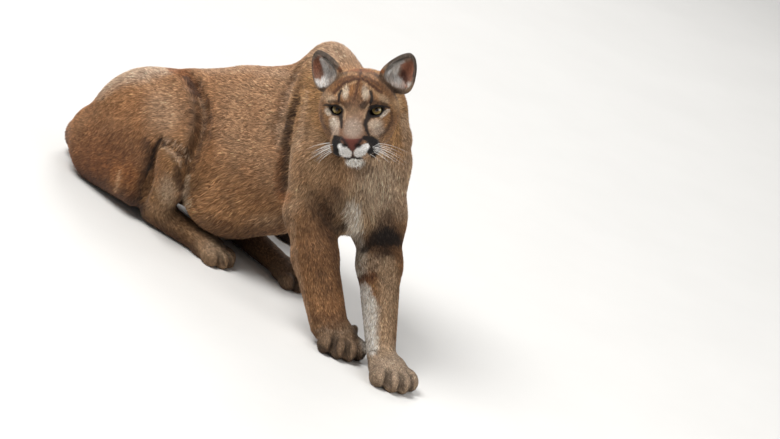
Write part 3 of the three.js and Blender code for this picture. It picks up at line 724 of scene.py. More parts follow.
# Marks on the side in view, in the photograph's pixels. Right and left are the animal's own.
HAUNCH_MARKS = {
    # Painted light: the top of the hip made paler where the light from above falls.
    "hip_top_light": line([(98, 92, 7), (118, 77, 9), (145, 71, 9), (170, 68, 6)], (202, 176, 152), 0.7, 0.8),
    "thigh_warm": spot((98, 158), (44, 26), (112, 66, 34), 0.75, 0.7),
    "thigh_brown": spot((118, 124), (40, 24), (142, 98, 68), 0.3, 0.8),
    "thigh_front_pale": spot((165, 110), (18, 24), (178, 148, 120), 0.5, 0.7),
    "rump_shadow": line([(66, 166, 5), (85, 178, 7), (105, 187, 8), (125, 197, 8), (142, 207, 6)],
        (62, 37, 24), 0.75, 0.6),
    "warm_band": spot((100, 170), (30, 9), (112, 66, 34), 0.5, 0.7, 14),
    "warm_patch": spot((118, 178), (8, 14), (156, 102, 58), 0.5, 0.6, 15),
    "pale_streak": line([(120, 172, 1.6), (118, 182, 2.4), (116, 191, 1.8)], (204, 160, 118), 0.55, 0.5),
    # Painted shade: a dark band in the fold between the haunch and the shin.
    "shin_fold_shade": line([(146, 142, 5), (151, 154, 6), (147, 172, 6), (141, 190, 6), (134, 200, 6)],
        DARK, 0.7, 0.6),
    "shin_fold_warm": spot((131, 180), (6, 16), (128, 78, 42), 0.5, 0.6),
    # Painted shade: a thin dark line deep in the same fold.
    "shin_fold_line_shade": line([(160, 139, 1.5), (155, 150, 2.2), (151, 165, 2.8), (148, 180, 2.8),
        (142, 197, 2.6)], (32, 21, 16), 0.85),
    "hip_crest_rust": line([(171, 69, 4), (184, 74, 5.5), (192, 84, 5.5), (198, 96, 4)], RUST, 0.75, 0.6),
    "hip_crest_shadow": line([(184, 77, 2), (191, 85, 4), (197, 95, 3.5)], DARK, 0.75, 0.6),
    "knee_shade": spot((191, 118), (10, 21), (116, 88, 66), 0.55, 0.6),
    # Painted shade: a dark line in the valley along the thigh's front edge.
    "knee_edge_shade": line([(199, 96, 1.6), (204.5, 107, 2), (206, 121, 2), (204, 135, 2), (200, 148, 2),
        (197, 160, 2), (194, 172, 1.8)], (84, 57, 39), 0.65, 0.6),
    # Painted highlight: a pale line on the thigh's rounded edge beside that valley.
    "knee_edge_light": line([(200.5, 101, 1.4), (202.5, 112, 1.5), (202.5, 124, 1.5), (200, 136, 1.4)],
        (190, 158, 128), 0.4),
    # Painted shade: dark lines in the skin creases over the knee.
    "low_crease_shade": line([(161, 142, 1.3), (170, 146, 1.5), (179, 153, 1.5), (187, 164, 1.3),
        (190, 174, 1)], (62, 42, 31), 0.75),
    "high_crease_shade": line([(165, 137.5, 1), (176, 140.5, 1.4), (186, 147.5, 1.4), (193, 158, 1.2)],
        (96, 68, 48), 0.6),
    # Painted highlight: pale lines on the ridges beside those creases.
    "crease_ridge_light": line([(163, 140, 1.2), (174, 143.5, 1.5), (183, 150, 1.5), (190, 160, 1.2)],
        (202, 174, 146), 0.6),
    "low_crease_ridge_light": line([(160, 147, 1.5), (168, 150, 1.7), (176, 157, 1.7), (182, 168, 1.3)],
        (194, 166, 138), 0.55),
    "shin_warm_line": line([(151, 172, 2), (147, 186, 3), (144, 200, 3)], (178, 130, 86), 0.6),
    "shin_warm": spot((161, 168), (7, 12), (152, 106, 68), 0.5, 0.6),
    "shin_pale": spot((168, 192), (9, 15), (196, 170, 142), 0.6, 0.7),
    "shin_shadow": line([(176, 168, 3), (180, 182, 4), (183, 196, 4)], (82, 58, 41), 0.7, 0.6),
    "shin_front_pale": line([(188, 178, 2.5), (186, 192, 3.5), (188, 205, 4)], (208, 182, 152), 0.6, 0.6),
    "foot_edge": line([(150, 207, 4), (170, 212, 5), (190, 224, 5), (204, 234, 5)], (158, 122, 88),
        0.5, 0.6),
    "toes_pale": spot((222, 250), (15, 10), (168, 142, 114), 0.65, 0.6, 20),
}

FLANK_MARKS = {
    # Painted light: the top of the back made paler where the light from above falls.
    "back_top_light": line([(208, 70, 5), (250, 69, 5), (285, 74, 5)], (186, 152, 122), 0.5, 0.7),
    "flank_shade": spot((216, 116), (12, 34), (138, 98, 68), 0.4, 0.8),
    "flank_low": spot((238, 188), (38, 26), (138, 98, 64), 0.4, 0.8),
    "belly_shadow": line([(205, 222, 8), (232, 234, 9), (262, 228, 10), (285, 220, 8)], (82, 57, 38),
        0.65, 0.7),
    "belly_pale": spot((270, 217), (18, 7), (186, 152, 118), 0.35, 0.7),
}

FORE_MARKS = {
    # Painted light: the top of the hump made paler where the light from above falls.
    "hump_top_light": spot((338, 52), (30, 15), (190, 160, 134), 0.6, 0.8),
    # Painted shade: dark lines in the shoulder's skin folds.
    "fold_top_shade": line([(303, 72, 1.6), (299, 86, 1.8), (296, 98, 1.8)], (108, 78, 56), 0.55, 0.6),
    "fold_line_shade": line([(297, 96, 1.8), (293, 112, 2.6), (289, 128, 3.8), (286, 144, 3.6), (285, 158, 3),
        (285, 172, 3.4), (285, 186, 4), (284, 194, 3)], (62, 42, 30), 0.78, 0.6),
    "fold_warm": line([(281, 150, 1.8), (279, 166, 2.4), (278, 182, 3), (280, 194, 4)], (142, 90, 54),
        0.5, 0.6),
    "fold_end_warm": spot((285, 197), (6, 6.5), (172, 114, 70), 0.6, 0.6),
    # Painted shade: the dark line of the rear shoulder fold.
    "back_fold_shade": line([(299, 64, 1.5), (291, 84, 1.7), (283, 102, 1.9), (277, 122, 1.9), (274, 144, 1.8)],
        (114, 82, 58), 0.6, 0.6),
    # Painted highlight: a pale line on the ridge between the shoulder folds.
    "back_ridge_light": line([(297, 76, 2), (288, 98, 2.6), (281, 122, 2.6), (278, 146, 2)],
        (190, 156, 126), 0.5, 0.6),
    # Painted shade: a dark line in the fold along the shoulder blade.
    "blade_fold_shade": line([(316, 88, 1.2), (312, 106, 1.6), (308, 130, 1.8), (303, 160, 1.8),
        (301, 176, 1.6)], (118, 88, 64), 0.5, 0.6),
    # Painted highlight: a pale line on the ridge beside the shoulder blade.
    "blade_ridge_light": line([(307, 92, 2), (303, 120, 2.6), (299, 150, 2.4)], (182, 150, 122), 0.45, 0.6),
    "arm_brown": spot((326, 160), (14, 22), (124, 94, 66), 0.4, 0.7),
    "chest_pale": spot((380, 186), (24, 32), (202, 176, 148), 0.75, 0.7),
    "chest_edge": line([(404, 118, 5), (409, 150, 6), (409, 185, 6), (403, 215, 6)], (184, 154, 126),
        0.6, 0.6),
    "chest_shade": spot((362, 169), (14, 6), (94, 68, 49), 0.6, 0.7),
    "elbow_shade": spot((331, 206), (14, 20), (82, 60, 42), 0.65, 0.7, -15),
    # Painted shade: darker spots in the fold between the chest and the right foreleg.
    "elbow_top_shade": spot((336, 191), (5, 8), (66, 48, 36), 0.5, 0.7),
    "elbow_low_shade": spot((326, 212), (7, 9), (70, 51, 38), 0.5, 0.7),
    "elbow_pale": line([(342, 190, 3), (346, 205, 3), (342, 218, 3)], (136, 110, 86), 0.5, 0.6),
    # Painted shade: a dark line in the fold under the elbow.
    "elbow_fold_shade": line([(318, 214, 3), (326, 224, 4), (336, 229, 5), (346, 226, 4)], (54, 40, 30),
        0.65, 0.6),
    "elbow_back_pale": spot((293, 208), (7, 8), (188, 154, 122), 0.55, 0.6),
    "foreleg_brown": line([(316, 212, 16), (320, 250, 16), (328, 285, 12)], (104, 72, 45), 0.55, 0.6),
    "foreleg_pale": line([(292, 222, 3), (296, 262, 3), (303, 295, 3), (310, 325, 3)], (178, 142, 110),
        0.55, 0.6),
    "foreleg_streak": line([(329, 232, 3), (337, 262, 3.5), (342, 290, 3)], (86, 59, 41), 0.55, 0.6),
    "wrist_brown": line([(316, 318, 5), (330, 322, 6), (342, 318, 5)], (104, 72, 49), 0.5, 0.6),
    "wrist_pale": line([(317, 331, 1.4), (326, 329, 1.6), (336, 331, 1.4), (348, 332, 1.4)],
        (190, 160, 132), 0.6),
    "paw_shade": spot((336, 341), (24, 15), (92, 72, 54), 0.45, 0.6),
    # Painted shade: a dark line in the creases along the toes.
    "toe_line_shade": line([(316, 345, 3), (330, 356, 3), (345, 362, 3), (362, 358, 3)], (52, 38, 30), 0.5, 0.6),
    "inner_arm_pale": line([(352, 208, 7), (355, 235, 8), (359, 255, 8), (361, 272, 6)], (226, 210, 190),
        0.88, 0.5),
    "left_arm_pale": spot((374, 262), (15, 10), (190, 162, 134), 0.7, 0.6),
    "left_elbow_shade": spot((386, 219), (11, 9), (92, 68, 50), 0.6, 0.7),
    "left_elbow_black": spot((385, 237), (17, 13), (32, 24, 19), 0.92, 0.5),
    "left_elbow_line": line([(364, 251, 2.5), (374, 243, 6), (388, 237, 8), (399, 243, 4)], (36, 26, 20),
        0.85, 0.6),
    "left_elbow_low": spot((386, 254), (10, 7), (60, 42, 31), 0.7, 0.7),
    "left_high_streak": line([(360, 268, 1.2), (368, 262, 1.4), (376, 256, 1.2)], (84, 58, 42), 0.6),
    "left_low_streak": line([(362, 274, 1.2), (372, 268, 1.4), (382, 262, 1.2)], (84, 58, 42), 0.5),
    "left_band": line([(357, 279, 3.4), (366, 278, 4.4), (376, 276, 3.6), (385, 280, 2)], (88, 54, 33),
        0.85, 0.55),
    "left_foreleg_white": line([(364, 291, 7), (368, 310, 10), (369, 330, 9), (370, 348, 7)],
        (240, 228, 212), 0.96, 0.5),
    "left_foreleg_edge": line([(388, 266, 9), (389, 300, 10), (386, 350, 8)], (180, 150, 118), 0.7, 0.5),
}

FACE_MARKS = {
    "forehead_band": line([(340, 69.5, 2.6), (350, 68.5, 3.4), (362, 68.5, 3.6), (374, 69.5, 3.2),
        (383, 72, 2)], (142, 82, 42), 0.85, 0.4),
    # Painted shadow: a dark stroke at the end of the forehead band, by the ear.
    "forehead_band_shadow": line([(334, 65, 1.4), (340, 70, 1.6)], (40, 28, 22), 0.7),
    "brow_brown": spot((357, 82), (24, 12), (124, 84, 48), 0.5, 0.6),
    "right_temple": spot((330, 84), (6, 7), (138, 100, 64), 0.5, 0.6),
    "left_temple": spot((384, 86), (9, 5), (108, 76, 50), 0.65, 0.6, 30),
    "right_forehead_pale": line([(341, 76.5, 1.6), (350, 73.5, 1.8), (357, 74.5, 1.2)], (178, 138, 98),
        0.55),
    "left_forehead_pale": line([(364, 74, 1.4), (370, 76, 1.8), (378, 80, 1.6)], (170, 130, 92), 0.5),
    "right_brow_pale": line([(356, 82, 1.2), (348, 84.7, 1.2), (342, 89, 1.2), (337.5, 95, 1.3)],
        (184, 150, 112), 0.5),
    "left_brow_pale": line([(362.5, 82, 1.2), (368, 86, 1.3), (374, 91, 1.3), (380, 97, 1.6),
        (386, 102, 2)], (184, 150, 112), 0.5),
    "right_bar": line([(359, 79, 1.2), (352, 80, 1.4), (345, 83, 1.5), (338, 89, 1.6), (332.5, 95, 1.5)],
        (74, 44, 27), 0.92),
    "right_high_bar": line([(357, 76.5, 0.9), (350, 77.5, 1.1), (342, 80, 1.2), (336, 85, 1.2)],
        (90, 56, 34), 0.7),
    "left_bar": line([(362, 79, 1.1), (368, 82.5, 1.4), (374, 87, 1.6), (381, 93, 1.8)], (74, 44, 27),
        0.92),
    "left_high_bar": line([(364, 76.5, 0.9), (371, 80, 1.2), (378, 85, 1.5)], (88, 54, 33), 0.7),
    "middle_line": line([(361.5, 66, 1), (360.5, 74, 1.2), (359.5, 79, 1.1), (357.5, 87, 1.1),
        (355.8, 94, 1.5), (354.5, 101, 2)], (74, 42, 28), 0.66),
    "right_brow_end": spot((327.5, 96.5), (5, 4.5), (180, 150, 118), 0.55, 0.6, -30),
    "right_lid_pale": spot((331.5, 99.5), (5, 3.2), (192, 168, 140), 0.6, 0.5, -20),
    "left_lid_pale": spot((384, 99.5), (6, 3.4), (186, 158, 126), 0.6, 0.5, 35),
    "right_inner_pale": spot((345.6, 92.5), (3.3, 6.4), (194, 174, 150), 0.88, 0.5, 8),
    "left_inner_pale": spot((365.2, 93), (3.6, 6.8), (196, 176, 152), 0.88, 0.5, -8),
    "right_bridge_warm": line([(351.6, 86, 1.5), (350.6, 95, 1.8)], (160, 108, 62), 0.6),
    "left_bridge_warm": line([(360.4, 88, 1.5), (359.8, 96, 1.8)], (128, 90, 58), 0.6),
    # Painted shadow: a dark spot between the inner brows.
    "bridge_top_shadow": spot((355, 104), (8, 6), (108, 76, 51), 0.75, 0.6),
    "right_lid_shade": line([(329, 101.5, 1.2), (336, 101.2, 1.6), (343, 103.4, 1.6)], (74, 50, 35),
        0.7, 0.6),
    "left_lid_shade": line([(363.5, 102.6, 1.8), (371, 102, 2), (380, 102.6, 1.8), (387, 104.6, 1.2)],
        (70, 48, 34), 0.75, 0.6),
    "right_corner_shade": spot((347, 106), (4, 4), (84, 62, 45), 0.75, 0.6),
    "left_corner_shade": spot((363.5, 106), (4.4, 3.2), (64, 47, 34), 0.85, 0.5, -20),
    "bridge_middle": spot((353, 111), (6, 4), (122, 94, 66), 0.6, 0.6),
    "right_frown": line([(341.4, 90.8, 1), (339.3, 95.5, 1.25), (338.7, 101.3, 0.9)], (32, 23, 19),
        0.97, 0.4),
    "left_frown": line([(370, 90.5, 1.1), (371.9, 95.5, 1.55), (371.7, 100, 1.55), (370.3, 104, 1)],
        (28, 20, 17), 0.97, 0.4),
    "bridge_low": spot((353, 128.5), (10, 9.5), (160, 140, 123), 0.88, 0.45),
    "right_bridge_edge": line([(343.2, 119, 1.8), (341.6, 128, 2.2), (340.5, 136, 2.2)], (134, 98, 74),
        0.75),
    "left_bridge_edge": line([(364.5, 118, 1.8), (364.5, 127, 2.2), (366.5, 134, 2.2)], (112, 82, 60),
        0.75),
    "right_cheek_pale": spot((334.5, 123), (4.6, 6.8), (208, 190, 170), 0.9, 0.5, -12),
    "left_cheek_pale": spot((375.5, 124.3), (7, 5.2), (204, 182, 158), 0.88, 0.5, -10),
    "left_cheek_low": spot((378, 131), (7, 4), (190, 168, 148), 0.7, 0.5, -20),
    "right_cheek_low": spot((335.5, 131), (3.6, 5), (194, 170, 150), 0.7, 0.5),
    "right_cheek_line": line([(322, 110, 1), (322.3, 120, 1.3), (325.5, 127, 1.4), (331, 133.5, 1.4)],
        (92, 62, 40), 0.6),
    "left_cheek_line": line([(391, 112, 1.3), (391.5, 121, 1.6), (387.5, 129, 1.8), (381, 136, 1.9)],
        (74, 50, 34), 0.7),
    "left_jowl": spot((399.5, 103), (7, 8), (198, 160, 118), 0.6, 0.6),
    "right_eye_black": spot((336, 110), (7.6, 5.8), BLACK, 0.98, 0.12, 12),
    "left_eye_black": spot((376.4, 111.6), (9.8, 6.2), BLACK, 0.98, 0.12, -12),
    "right_outer_corner": line([(331, 105.6, 1.2), (326, 105, 1.1), (324.3, 105.4, 0.7)], BLACK, 0.92, 0.4),
    "left_upper_lid": line([(368.5, 107, 1.2), (376, 105.4, 1.3), (384, 106.6, 1.3), (389, 107.4, 1)],
        BLACK, 0.95, 0.4),
    "right_tear_line": line([(340.4, 114, 2.1), (341, 118, 2), (341.6, 123, 1.5), (341.5, 127.5, 1)],
        (34, 25, 21), 0.95, 0.4),
    "left_tear_line": line([(369, 116, 3), (366.6, 119.5, 2.7), (365.3, 124, 1.9), (366.4, 130, 1.5),
        (369, 135, 1.3)], (32, 24, 20), 0.95, 0.4),
    "right_tear_pale": line([(340.4, 104.6, 0.9), (343.8, 107.8, 1.1), (345.2, 113, 1.2),
        (344.2, 118.5, 1.4)], (190, 158, 124), 0.7, 0.5),
    "left_tear_pale": line([(368.6, 105, 0.9), (366, 109, 1.2), (364.6, 113, 1.2), (364, 118, 1.2)],
        (184, 152, 120), 0.65, 0.5),
    "right_under_eye": spot((328.2, 111.8), (2.7, 4.1), (210, 194, 174), 0.88, 0.4, -20),
    "left_under_eye": line([(381.4, 117, 1.3), (385, 113.4, 1.9), (388, 110.6, 1.5)], (212, 194, 174),
        0.88, 0.4),
    "right_muzzle_line": line([(335, 137.2, 2), (334.6, 143, 3.1), (336.6, 151, 3), (339.5, 156, 1.9)],
        (24, 18, 16), 0.97, 0.3),
    "right_nostril_line": line([(336, 137, 1.6), (341.5, 138.4, 2)], BLACK, 0.9, 0.4),
    "left_muzzle_line": line([(364.5, 138, 2.4), (371, 139.4, 3.5), (376, 143, 3.8), (377, 149, 3.3),
        (372.6, 154, 3.4), (369, 151, 2.6)], (24, 18, 16), 0.97, 0.3),
    "right_muzzle_black": spot((337, 146.5), (4.4, 9.2), (24, 18, 16), 0.96, 0.3, 8),
    "left_muzzle_black": spot((371.6, 146), (6.4, 8.4), (24, 18, 16), 0.97, 0.3, 12),
    "right_lip_white": line([(340.6, 146.6, 3), (344.4, 151, 5.4), (347, 153.4, 4.8)], WHITE, 0.99, 0.22),
    "left_lip_white": line([(366, 146.6, 3.4), (361.6, 150.5, 5.2), (358.4, 153.2, 4.6)],
        WHITE, 0.99, 0.22),
    "chin_white": spot((354.8, 162.2), (9.4, 4.8), (232, 225, 214), 0.97, 0.3),
    "lip_cleft": line([(352.6, 150.5, 0.8), (352.4, 155, 0.9)], (58, 36, 32), 0.9, 0.4),
    "mouth_line": line([(345, 158, 0.8), (349, 158.8, 1), (352.5, 157, 1.5), (357, 158.5, 1.2),
        (361.5, 158, 0.8)], (36, 23, 20), 0.95, 0.35),
}

EAR_MARKS = {
    "right_bowl": spot((318.5, 64), (4.6, 8), (156, 100, 76), 0.8, 0.5, 20),
    "right_tip": spot((314.8, 54), (3, 5), (112, 100, 88), 0.8),
    "right_hair": line([(321, 59, 1.6), (326, 68, 3.2), (329, 76, 4), (325, 82, 4)], (226, 221, 215), 0.9),
    "right_low_hair": line([(317.5, 81, 2.4), (321, 86, 2.4)], (228, 223, 217), 0.85),
    "right_rim": line([(318, 50.5, 1.3), (326, 58, 1.8), (333, 66, 2.3), (338, 72, 2.6)], (90, 80, 71),
        0.92, 0.4),
    "left_bowl": spot((407.5, 67), (7, 9), (170, 110, 84), 0.8, 0.5, -15),
    # Painted shade: the deep of the left ear's bowl made darker.
    "left_deep_shade": line([(403, 72, 2.4), (405, 80, 3), (407, 84, 2)], (82, 48, 38), 0.8),
    "left_tip": spot((404, 59), (7, 3.4), (134, 116, 100), 0.7),
    # Painted shade: the inner side of the left ear's bowl made darker.
    "left_inner_shade": spot((394, 70), (6, 9), (118, 103, 90), 0.75, 0.5, 20),
    "left_hair": line([(399, 66, 1.2), (396, 72, 1.8), (394, 78, 3), (399, 83.5, 3)], (214, 206, 197),
        0.88),
    "left_low_hair": line([(409, 84, 2.4), (412, 88.5, 2.6)], (206, 194, 182), 0.8),
    "left_rim": line([(386, 74, 2.4), (391, 66, 3.2), (397, 60, 3), (404, 56.6, 2.4), (411, 56, 1.6),
        (414.6, 61, 1.4), (415.2, 68, 1.3), (413.6, 77, 1.2)], (92, 82, 74), 0.9, 0.4),
}


# The nose pad in the photograph's pixels: its middle across, its top edge, how high and half as wide
NOSE_ACROSS = 352.1
NOSE_TOP = 139.2
NOSE_HIGH = 11.8
NOSE_HALF = 10.6
NOSE_SHADE_TOP = 139


def on_nose(f):
    """1 on the three-cornered nose pad, as the side in view shows it."""
    low = f[:, 1] - NOSE_TOP
    down = low / NOSE_HIGH
    half = NOSE_HALF * (1 - np.clip(down, 0, 1)) ** 0.72 + 0.5
    out = np.abs(f[:, 0] - NOSE_ACROSS)
    arch = 1.2 * (out / NOSE_HALF) ** 2
    return (1 - smooth(0.92, 1.08, out / half)) * smooth(-0.6, 0.3, low + arch) * (1 - smooth(1, 1.06, down))


def ear_cup(side):
    """The frame of an ear, and its cup among the shapes."""
    x, y, z, yaw, roll = EARS[side]
    own = HEAD @ place((x, y, z), yaw, 0, roll)
    return own, next(c for c in shapes if c["kind"] == "cup" and np.allclose(c["own"], own))


def ear_tint(p, tint):
    """The tint with the ears' own colours, and how far each point is inside an ear's cup."""
    cupped = np.zeros(len(p))
    for side, s in SIDES:
        own, shape = ear_cup(side)
        q = out_of(own, p)
        close = distance(shape, p) < 4
        if not close.any():
            continue
        rows = np.flatnonzero(close & (q[:, 2] > -34))
        e = q[rows]
        hollow = lump_distance(shape["hollow"], p[rows])
        within = 1 - smooth(1.5, 4, hollow)
        edge = smooth(-5, -1, lump_distance(shape, p[rows])) * within
        colour = tint[rows]
        back = linear((82, 70, 60)) + np.zeros_like(colour)
        back = mix(back, linear((158, 130, 104)), smooth(8, -22, e[:, 2]))
        medial = smooth(6, -14, e[:, 1] * s)
        bowl = mix(np.zeros_like(colour) + linear((146, 104, 84)), linear((210, 200, 190)), medial * 0.8)
        bowl = mix(bowl, linear((132, 116, 102)), edge)
        colour = mix(colour, mix(back, bowl, within), smooth(-34, -18, e[:, 2]))
        tint[rows] = colour
        cupped[rows] = within
    return tint, cupped


def ear_fringe(p):
    """1 where long pale hair grows inside an ear: along its inner edge and low in its cup."""
    out = np.zeros(len(p))
    for side, s in SIDES:
        own, shape = ear_cup(side)
        near_ear = np.flatnonzero(np.linalg.norm(p - own[:3, 3], axis=1) < 60)
        e = out_of(own, p[near_ear])
        within = 1 - smooth(1, 3, lump_distance(shape["hollow"], p[near_ear]))
        edge = smooth(-9, -5, lump_distance(shape, p[near_ear]))
        along = smooth(-2, -18, e[:, 1] * s) * smooth(26, 4, e[:, 2])
        value = within * np.maximum(along, smooth(-14, -28, e[:, 2])) * (1 - 0.5 * edge)
        out[near_ear] = np.where(value > 0.35, value, 0)
    return out


def mix(a, b, amount):
    amount = np.asarray(amount)[..., None]
    return a + (b - a) * amount


def markings(points, normals, tint, way, length):
    """The colour at points of the skin or coat, from the coat's own colours and the named marks."""
    wave = np.stack([noise(points, 9, 1), noise(points, 9, 2), noise(points, 9, 3)], 1)
    streak = way * (noise(points, 2.4, 4) * length)[:, None]
    tint = tint * (1 + 0.10 * noise(points, 55, 7) + 0.08 * noise(points, 17, 8))[:, None]
    warm = 0.05 * noise(points, 38, 9)
    tint = tint * np.stack([1 + warm, np.ones_like(warm), 1 - warm], 1)
    head_space = out_of(HEAD, points)
    on_head = np.linalg.norm(head_space * np.array([0.9, 1, 1]), axis=1) < HEAD_REACH
    facing = normals @ VIEW_Z
    for mask, colour in BODY_MARKS.values():
        tint = mix(tint, colour, mask(points + wave * 5 + streak * 0.5))
    rows = np.flatnonzero(facing > -0.1)
    f = on_side((points + wave * 3 + streak * 0.9)[rows])
    seen = smooth(-0.1, 0.15, facing[rows])
    part = tint[rows]
    for mask, colour in (*HAUNCH_MARKS.values(), *FLANK_MARKS.values(), *FORE_MARKS.values()):
        part = mix(part, colour, mask(f) * seen)
    tint[rows] = part
    tint, bowl = ear_tint(points, tint)
    rows = np.flatnonzero(on_head & (facing > 0) & (head_space[:, 0] > -150))
    f = on_side((points + wave * 0.7 + streak * 0.3)[rows])
    seen = smooth(0.0, 0.2, facing[rows]) * (1 - bowl[rows])
    part = tint[rows]
    for mask, colour in FACE_MARKS.values():
        part = mix(part, colour, mask(f) * seen)
    for mask, colour in EAR_MARKS.values():
        part = mix(part, colour, mask(f) * bowl[rows])
    f = on_side(points[rows])
    pad = on_nose(f) * (head_space[rows][:, 0] > 55)
    outward = np.abs(f[:, 0] - NOSE_ACROSS) + (f[:, 1] - NOSE_SHADE_TOP) * 0.5
    nose = mix(linear((90, 44, 33)), linear((38, 22, 19)), smooth(4.5, 9.5, outward))
    tint[rows] = mix(part, nose, pad)
    return np.clip(tint, 0.002, 1)


def bald(points):
    """1 where no hair grows: on the nose pad, the lids' edges and round the eyeballs."""
    h = out_of(HEAD, points)
    out = np.zeros(len(points))
    out = np.maximum(out, (on_nose(on_side(points)) > 0.5) & (h[:, 0] > 55))
    x, y, z = EYE_PLACE
    for _, s in SIDES:
        q = out_of(HEAD @ place((x + 16, (y - 2) * s, z), 10 * s, 0, 16 * s), points)
        out = np.maximum(out, np.linalg.norm(q / np.array([15, 16.5, 8.8]), axis=1) < 1)
        ball = np.linalg.norm(h - np.array([x, y * s, z]), axis=1)
        out = np.maximum(out, ball < EYE_RADIUS + 1.2)
    return out


# Materials
def material(name, base, rough, sheen, build, gloss=0.5):
    m = bpy.data.materials.new(name)
    m.use_nodes = True
    tree = m.node_tree
    shader = tree.nodes["Principled BSDF"]
    shader.inputs["Roughness"].default_value = rough
    shader.inputs["Sheen Weight"].default_value = sheen
    shader.inputs["Sheen Roughness"].default_value = 0.5
    shader.inputs["Specular IOR Level"].default_value = gloss
    shader.inputs["Base Color"].default_value = (*linear(base), 1)
    build(tree, shader)
    return m


def node(tree, kind, **values):
    n = tree.nodes.new(kind)
    for key, value in values.items():
        setattr(n, key, value)
    return n


def grain(tree, scale, detail=4.0, rough=0.6):
    where = node(tree, "ShaderNodeTexCoord")
    n = node(tree, "ShaderNodeTexNoise")
    n.inputs["Scale"].default_value = scale
    n.inputs["Detail"].default_value = detail
    n.inputs["Roughness"].default_value = rough
    tree.links.new(where.outputs["Object"], n.inputs["Vector"])
    return n.outputs["Fac"]


def remap(tree, source, low, high, start=0.0, end=1.0):
    """The source's span from start to end made into one from low to high."""
    span = node(tree, "ShaderNodeMapRange")
    span.inputs["From Min"].default_value = start
    span.inputs["From Max"].default_value = end
    span.inputs["To Min"].default_value = low
    span.inputs["To Max"].default_value = high
    tree.links.new(source, span.inputs["Value"])
    return span.outputs["Result"]


def product(tree, first, second):
    m = node(tree, "ShaderNodeVectorMath", operation="MULTIPLY")
    tree.links.new(first, m.inputs[0])
    tree.links.new(second, m.inputs[1])
    return m.outputs["Vector"]


def between(tree, source, low, high):
    """A colour from low to high, as the source goes from 0 to 1."""
    ramp = node(tree, "ShaderNodeValToRGB")
    ramp.color_ramp.elements[0].color = (*linear(low), 1)
    ramp.color_ramp.elements[1].color = (*linear(high), 1)
    tree.links.new(source, ramp.inputs["Fac"])
    return ramp.outputs["Color"]


def bump(tree, shader, height, strength, depth):
    b = node(tree, "ShaderNodeBump")
    b.inputs["Strength"].default_value = strength
    b.inputs["Distance"].default_value = depth
    tree.links.new(height, b.inputs["Height"])
    tree.links.new(b.outputs["Normal"], shader.inputs["Normal"])


def tinted(tree, shader, low, high, scale):
    """The base colour: the painted tint, made darker and lighter by a fine grain."""
    tint = node(tree, "ShaderNodeAttribute", attribute_name="Tint")
    shade = remap(tree, grain(tree, scale), low, high, 0.3, 0.7)
    tree.links.new(product(tree, tint.outputs["Color"], shade), shader.inputs["Base Color"])


def coat_nodes(tree, shader):
    tinted(tree, shader, 0.8, 1.18, 520)
    bump(tree, shader, grain(tree, 900, 2), 0.35, 0.0006)


def skin_nodes(tree, shader):
    tinted(tree, shader, 0.8, 1.15, 600)
    fine = grain(tree, 700, 4)
    bump(tree, shader, fine, 0.6, 0.001)
    tree.links.new(remap(tree, fine, 0.55, 0.9), shader.inputs["Roughness"])


def whisker_nodes(tree, shader):
    pale = between(tree, grain(tree, 300, 2), (205, 198, 188), (246, 243, 238))
    tree.links.new(pale, shader.inputs["Base Color"])


def eye_nodes(tree, shader):
    """Iris, pupil and white from the angle off the line of sight, held in an attribute, with a painted lid
    shadow over the upper part and painted light on the lower part.
    """
    gaze = node(tree, "ShaderNodeAttribute", attribute_name="Gaze")
    parts = node(tree, "ShaderNodeSeparateXYZ")
    tree.links.new(gaze.outputs["Vector"], parts.inputs["Vector"])
    wobble = grain(tree, 260, 3)
    spread = node(tree, "ShaderNodeMath", operation="MULTIPLY_ADD")
    spread.inputs[1].default_value = 0.05
    tree.links.new(wobble, spread.inputs[0])
    tree.links.new(parts.outputs["X"], spread.inputs[2])
    ramp = node(tree, "ShaderNodeValToRGB")
    ramp.color_ramp.elements[0].position = 0
    ramp.color_ramp.elements[0].color = (0.004, 0.003, 0.003, 1)
    stops = [(0.2, (5, 4, 4)), (0.225, (70, 50, 25)), (0.36, (120, 92, 44)), (0.52, (164, 138, 78)),
             (0.62, (200, 182, 122)), (0.69, (84, 66, 38)), (0.74, (22, 16, 13)), (1.0, (30, 22, 20))]
    for at, colour in stops:
        e = ramp.color_ramp.elements.new(at) if at < 1 else ramp.color_ramp.elements[-1]
        e.position = at
        e.color = (*linear(colour), 1)
    tree.links.new(spread.outputs["Value"], ramp.inputs["Fac"])
    rays = node(tree, "ShaderNodeTexWave")
    rays.inputs["Scale"].default_value = 7
    rays.inputs["Distortion"].default_value = 4
    rays.inputs["Detail"].default_value = 3
    turn = node(tree, "ShaderNodeCombineXYZ")
    tree.links.new(parts.outputs["Y"], turn.inputs["X"])
    tree.links.new(turn.outputs["Vector"], rays.inputs["Vector"])
    iris = product(tree, ramp.outputs["Color"], remap(tree, rays.outputs["Fac"], 0.72, 1.18))
    # Painted lid shadow and painted light: the eye made darker towards its top and brighter towards its
    # bottom.
    shade = remap(tree, parts.outputs["Z"], 1.2, 0.22, -0.35, 0.35)
    tree.links.new(product(tree, iris, shade), shader.inputs["Base Color"])
    shader.inputs["Coat Weight"].default_value = 0.5
    shader.inputs["Coat Roughness"].default_value = 0.04


def floor_nodes(tree, shader):
    grey = between(tree, grain(tree, 3, 4), (214, 212, 208), (222, 220, 216))
    tree.links.new(grey, shader.inputs["Base Color"])


COAT = material("short_coat", (165, 125, 95), 0.72, 0.05, coat_nodes, 0.22)
SKIN = material("skin", (140, 100, 80), 0.7, 0.0, skin_nodes, 0.3)
WHISKER = material("whisker", (240, 236, 230), 0.4, 0.0, whisker_nodes)
EYE = material("eye", (150, 120, 60), 0.12, 0.0, eye_nodes, 0.4)
FLOOR = material("floor", (218, 216, 212), 0.8, 0.0, floor_nodes)


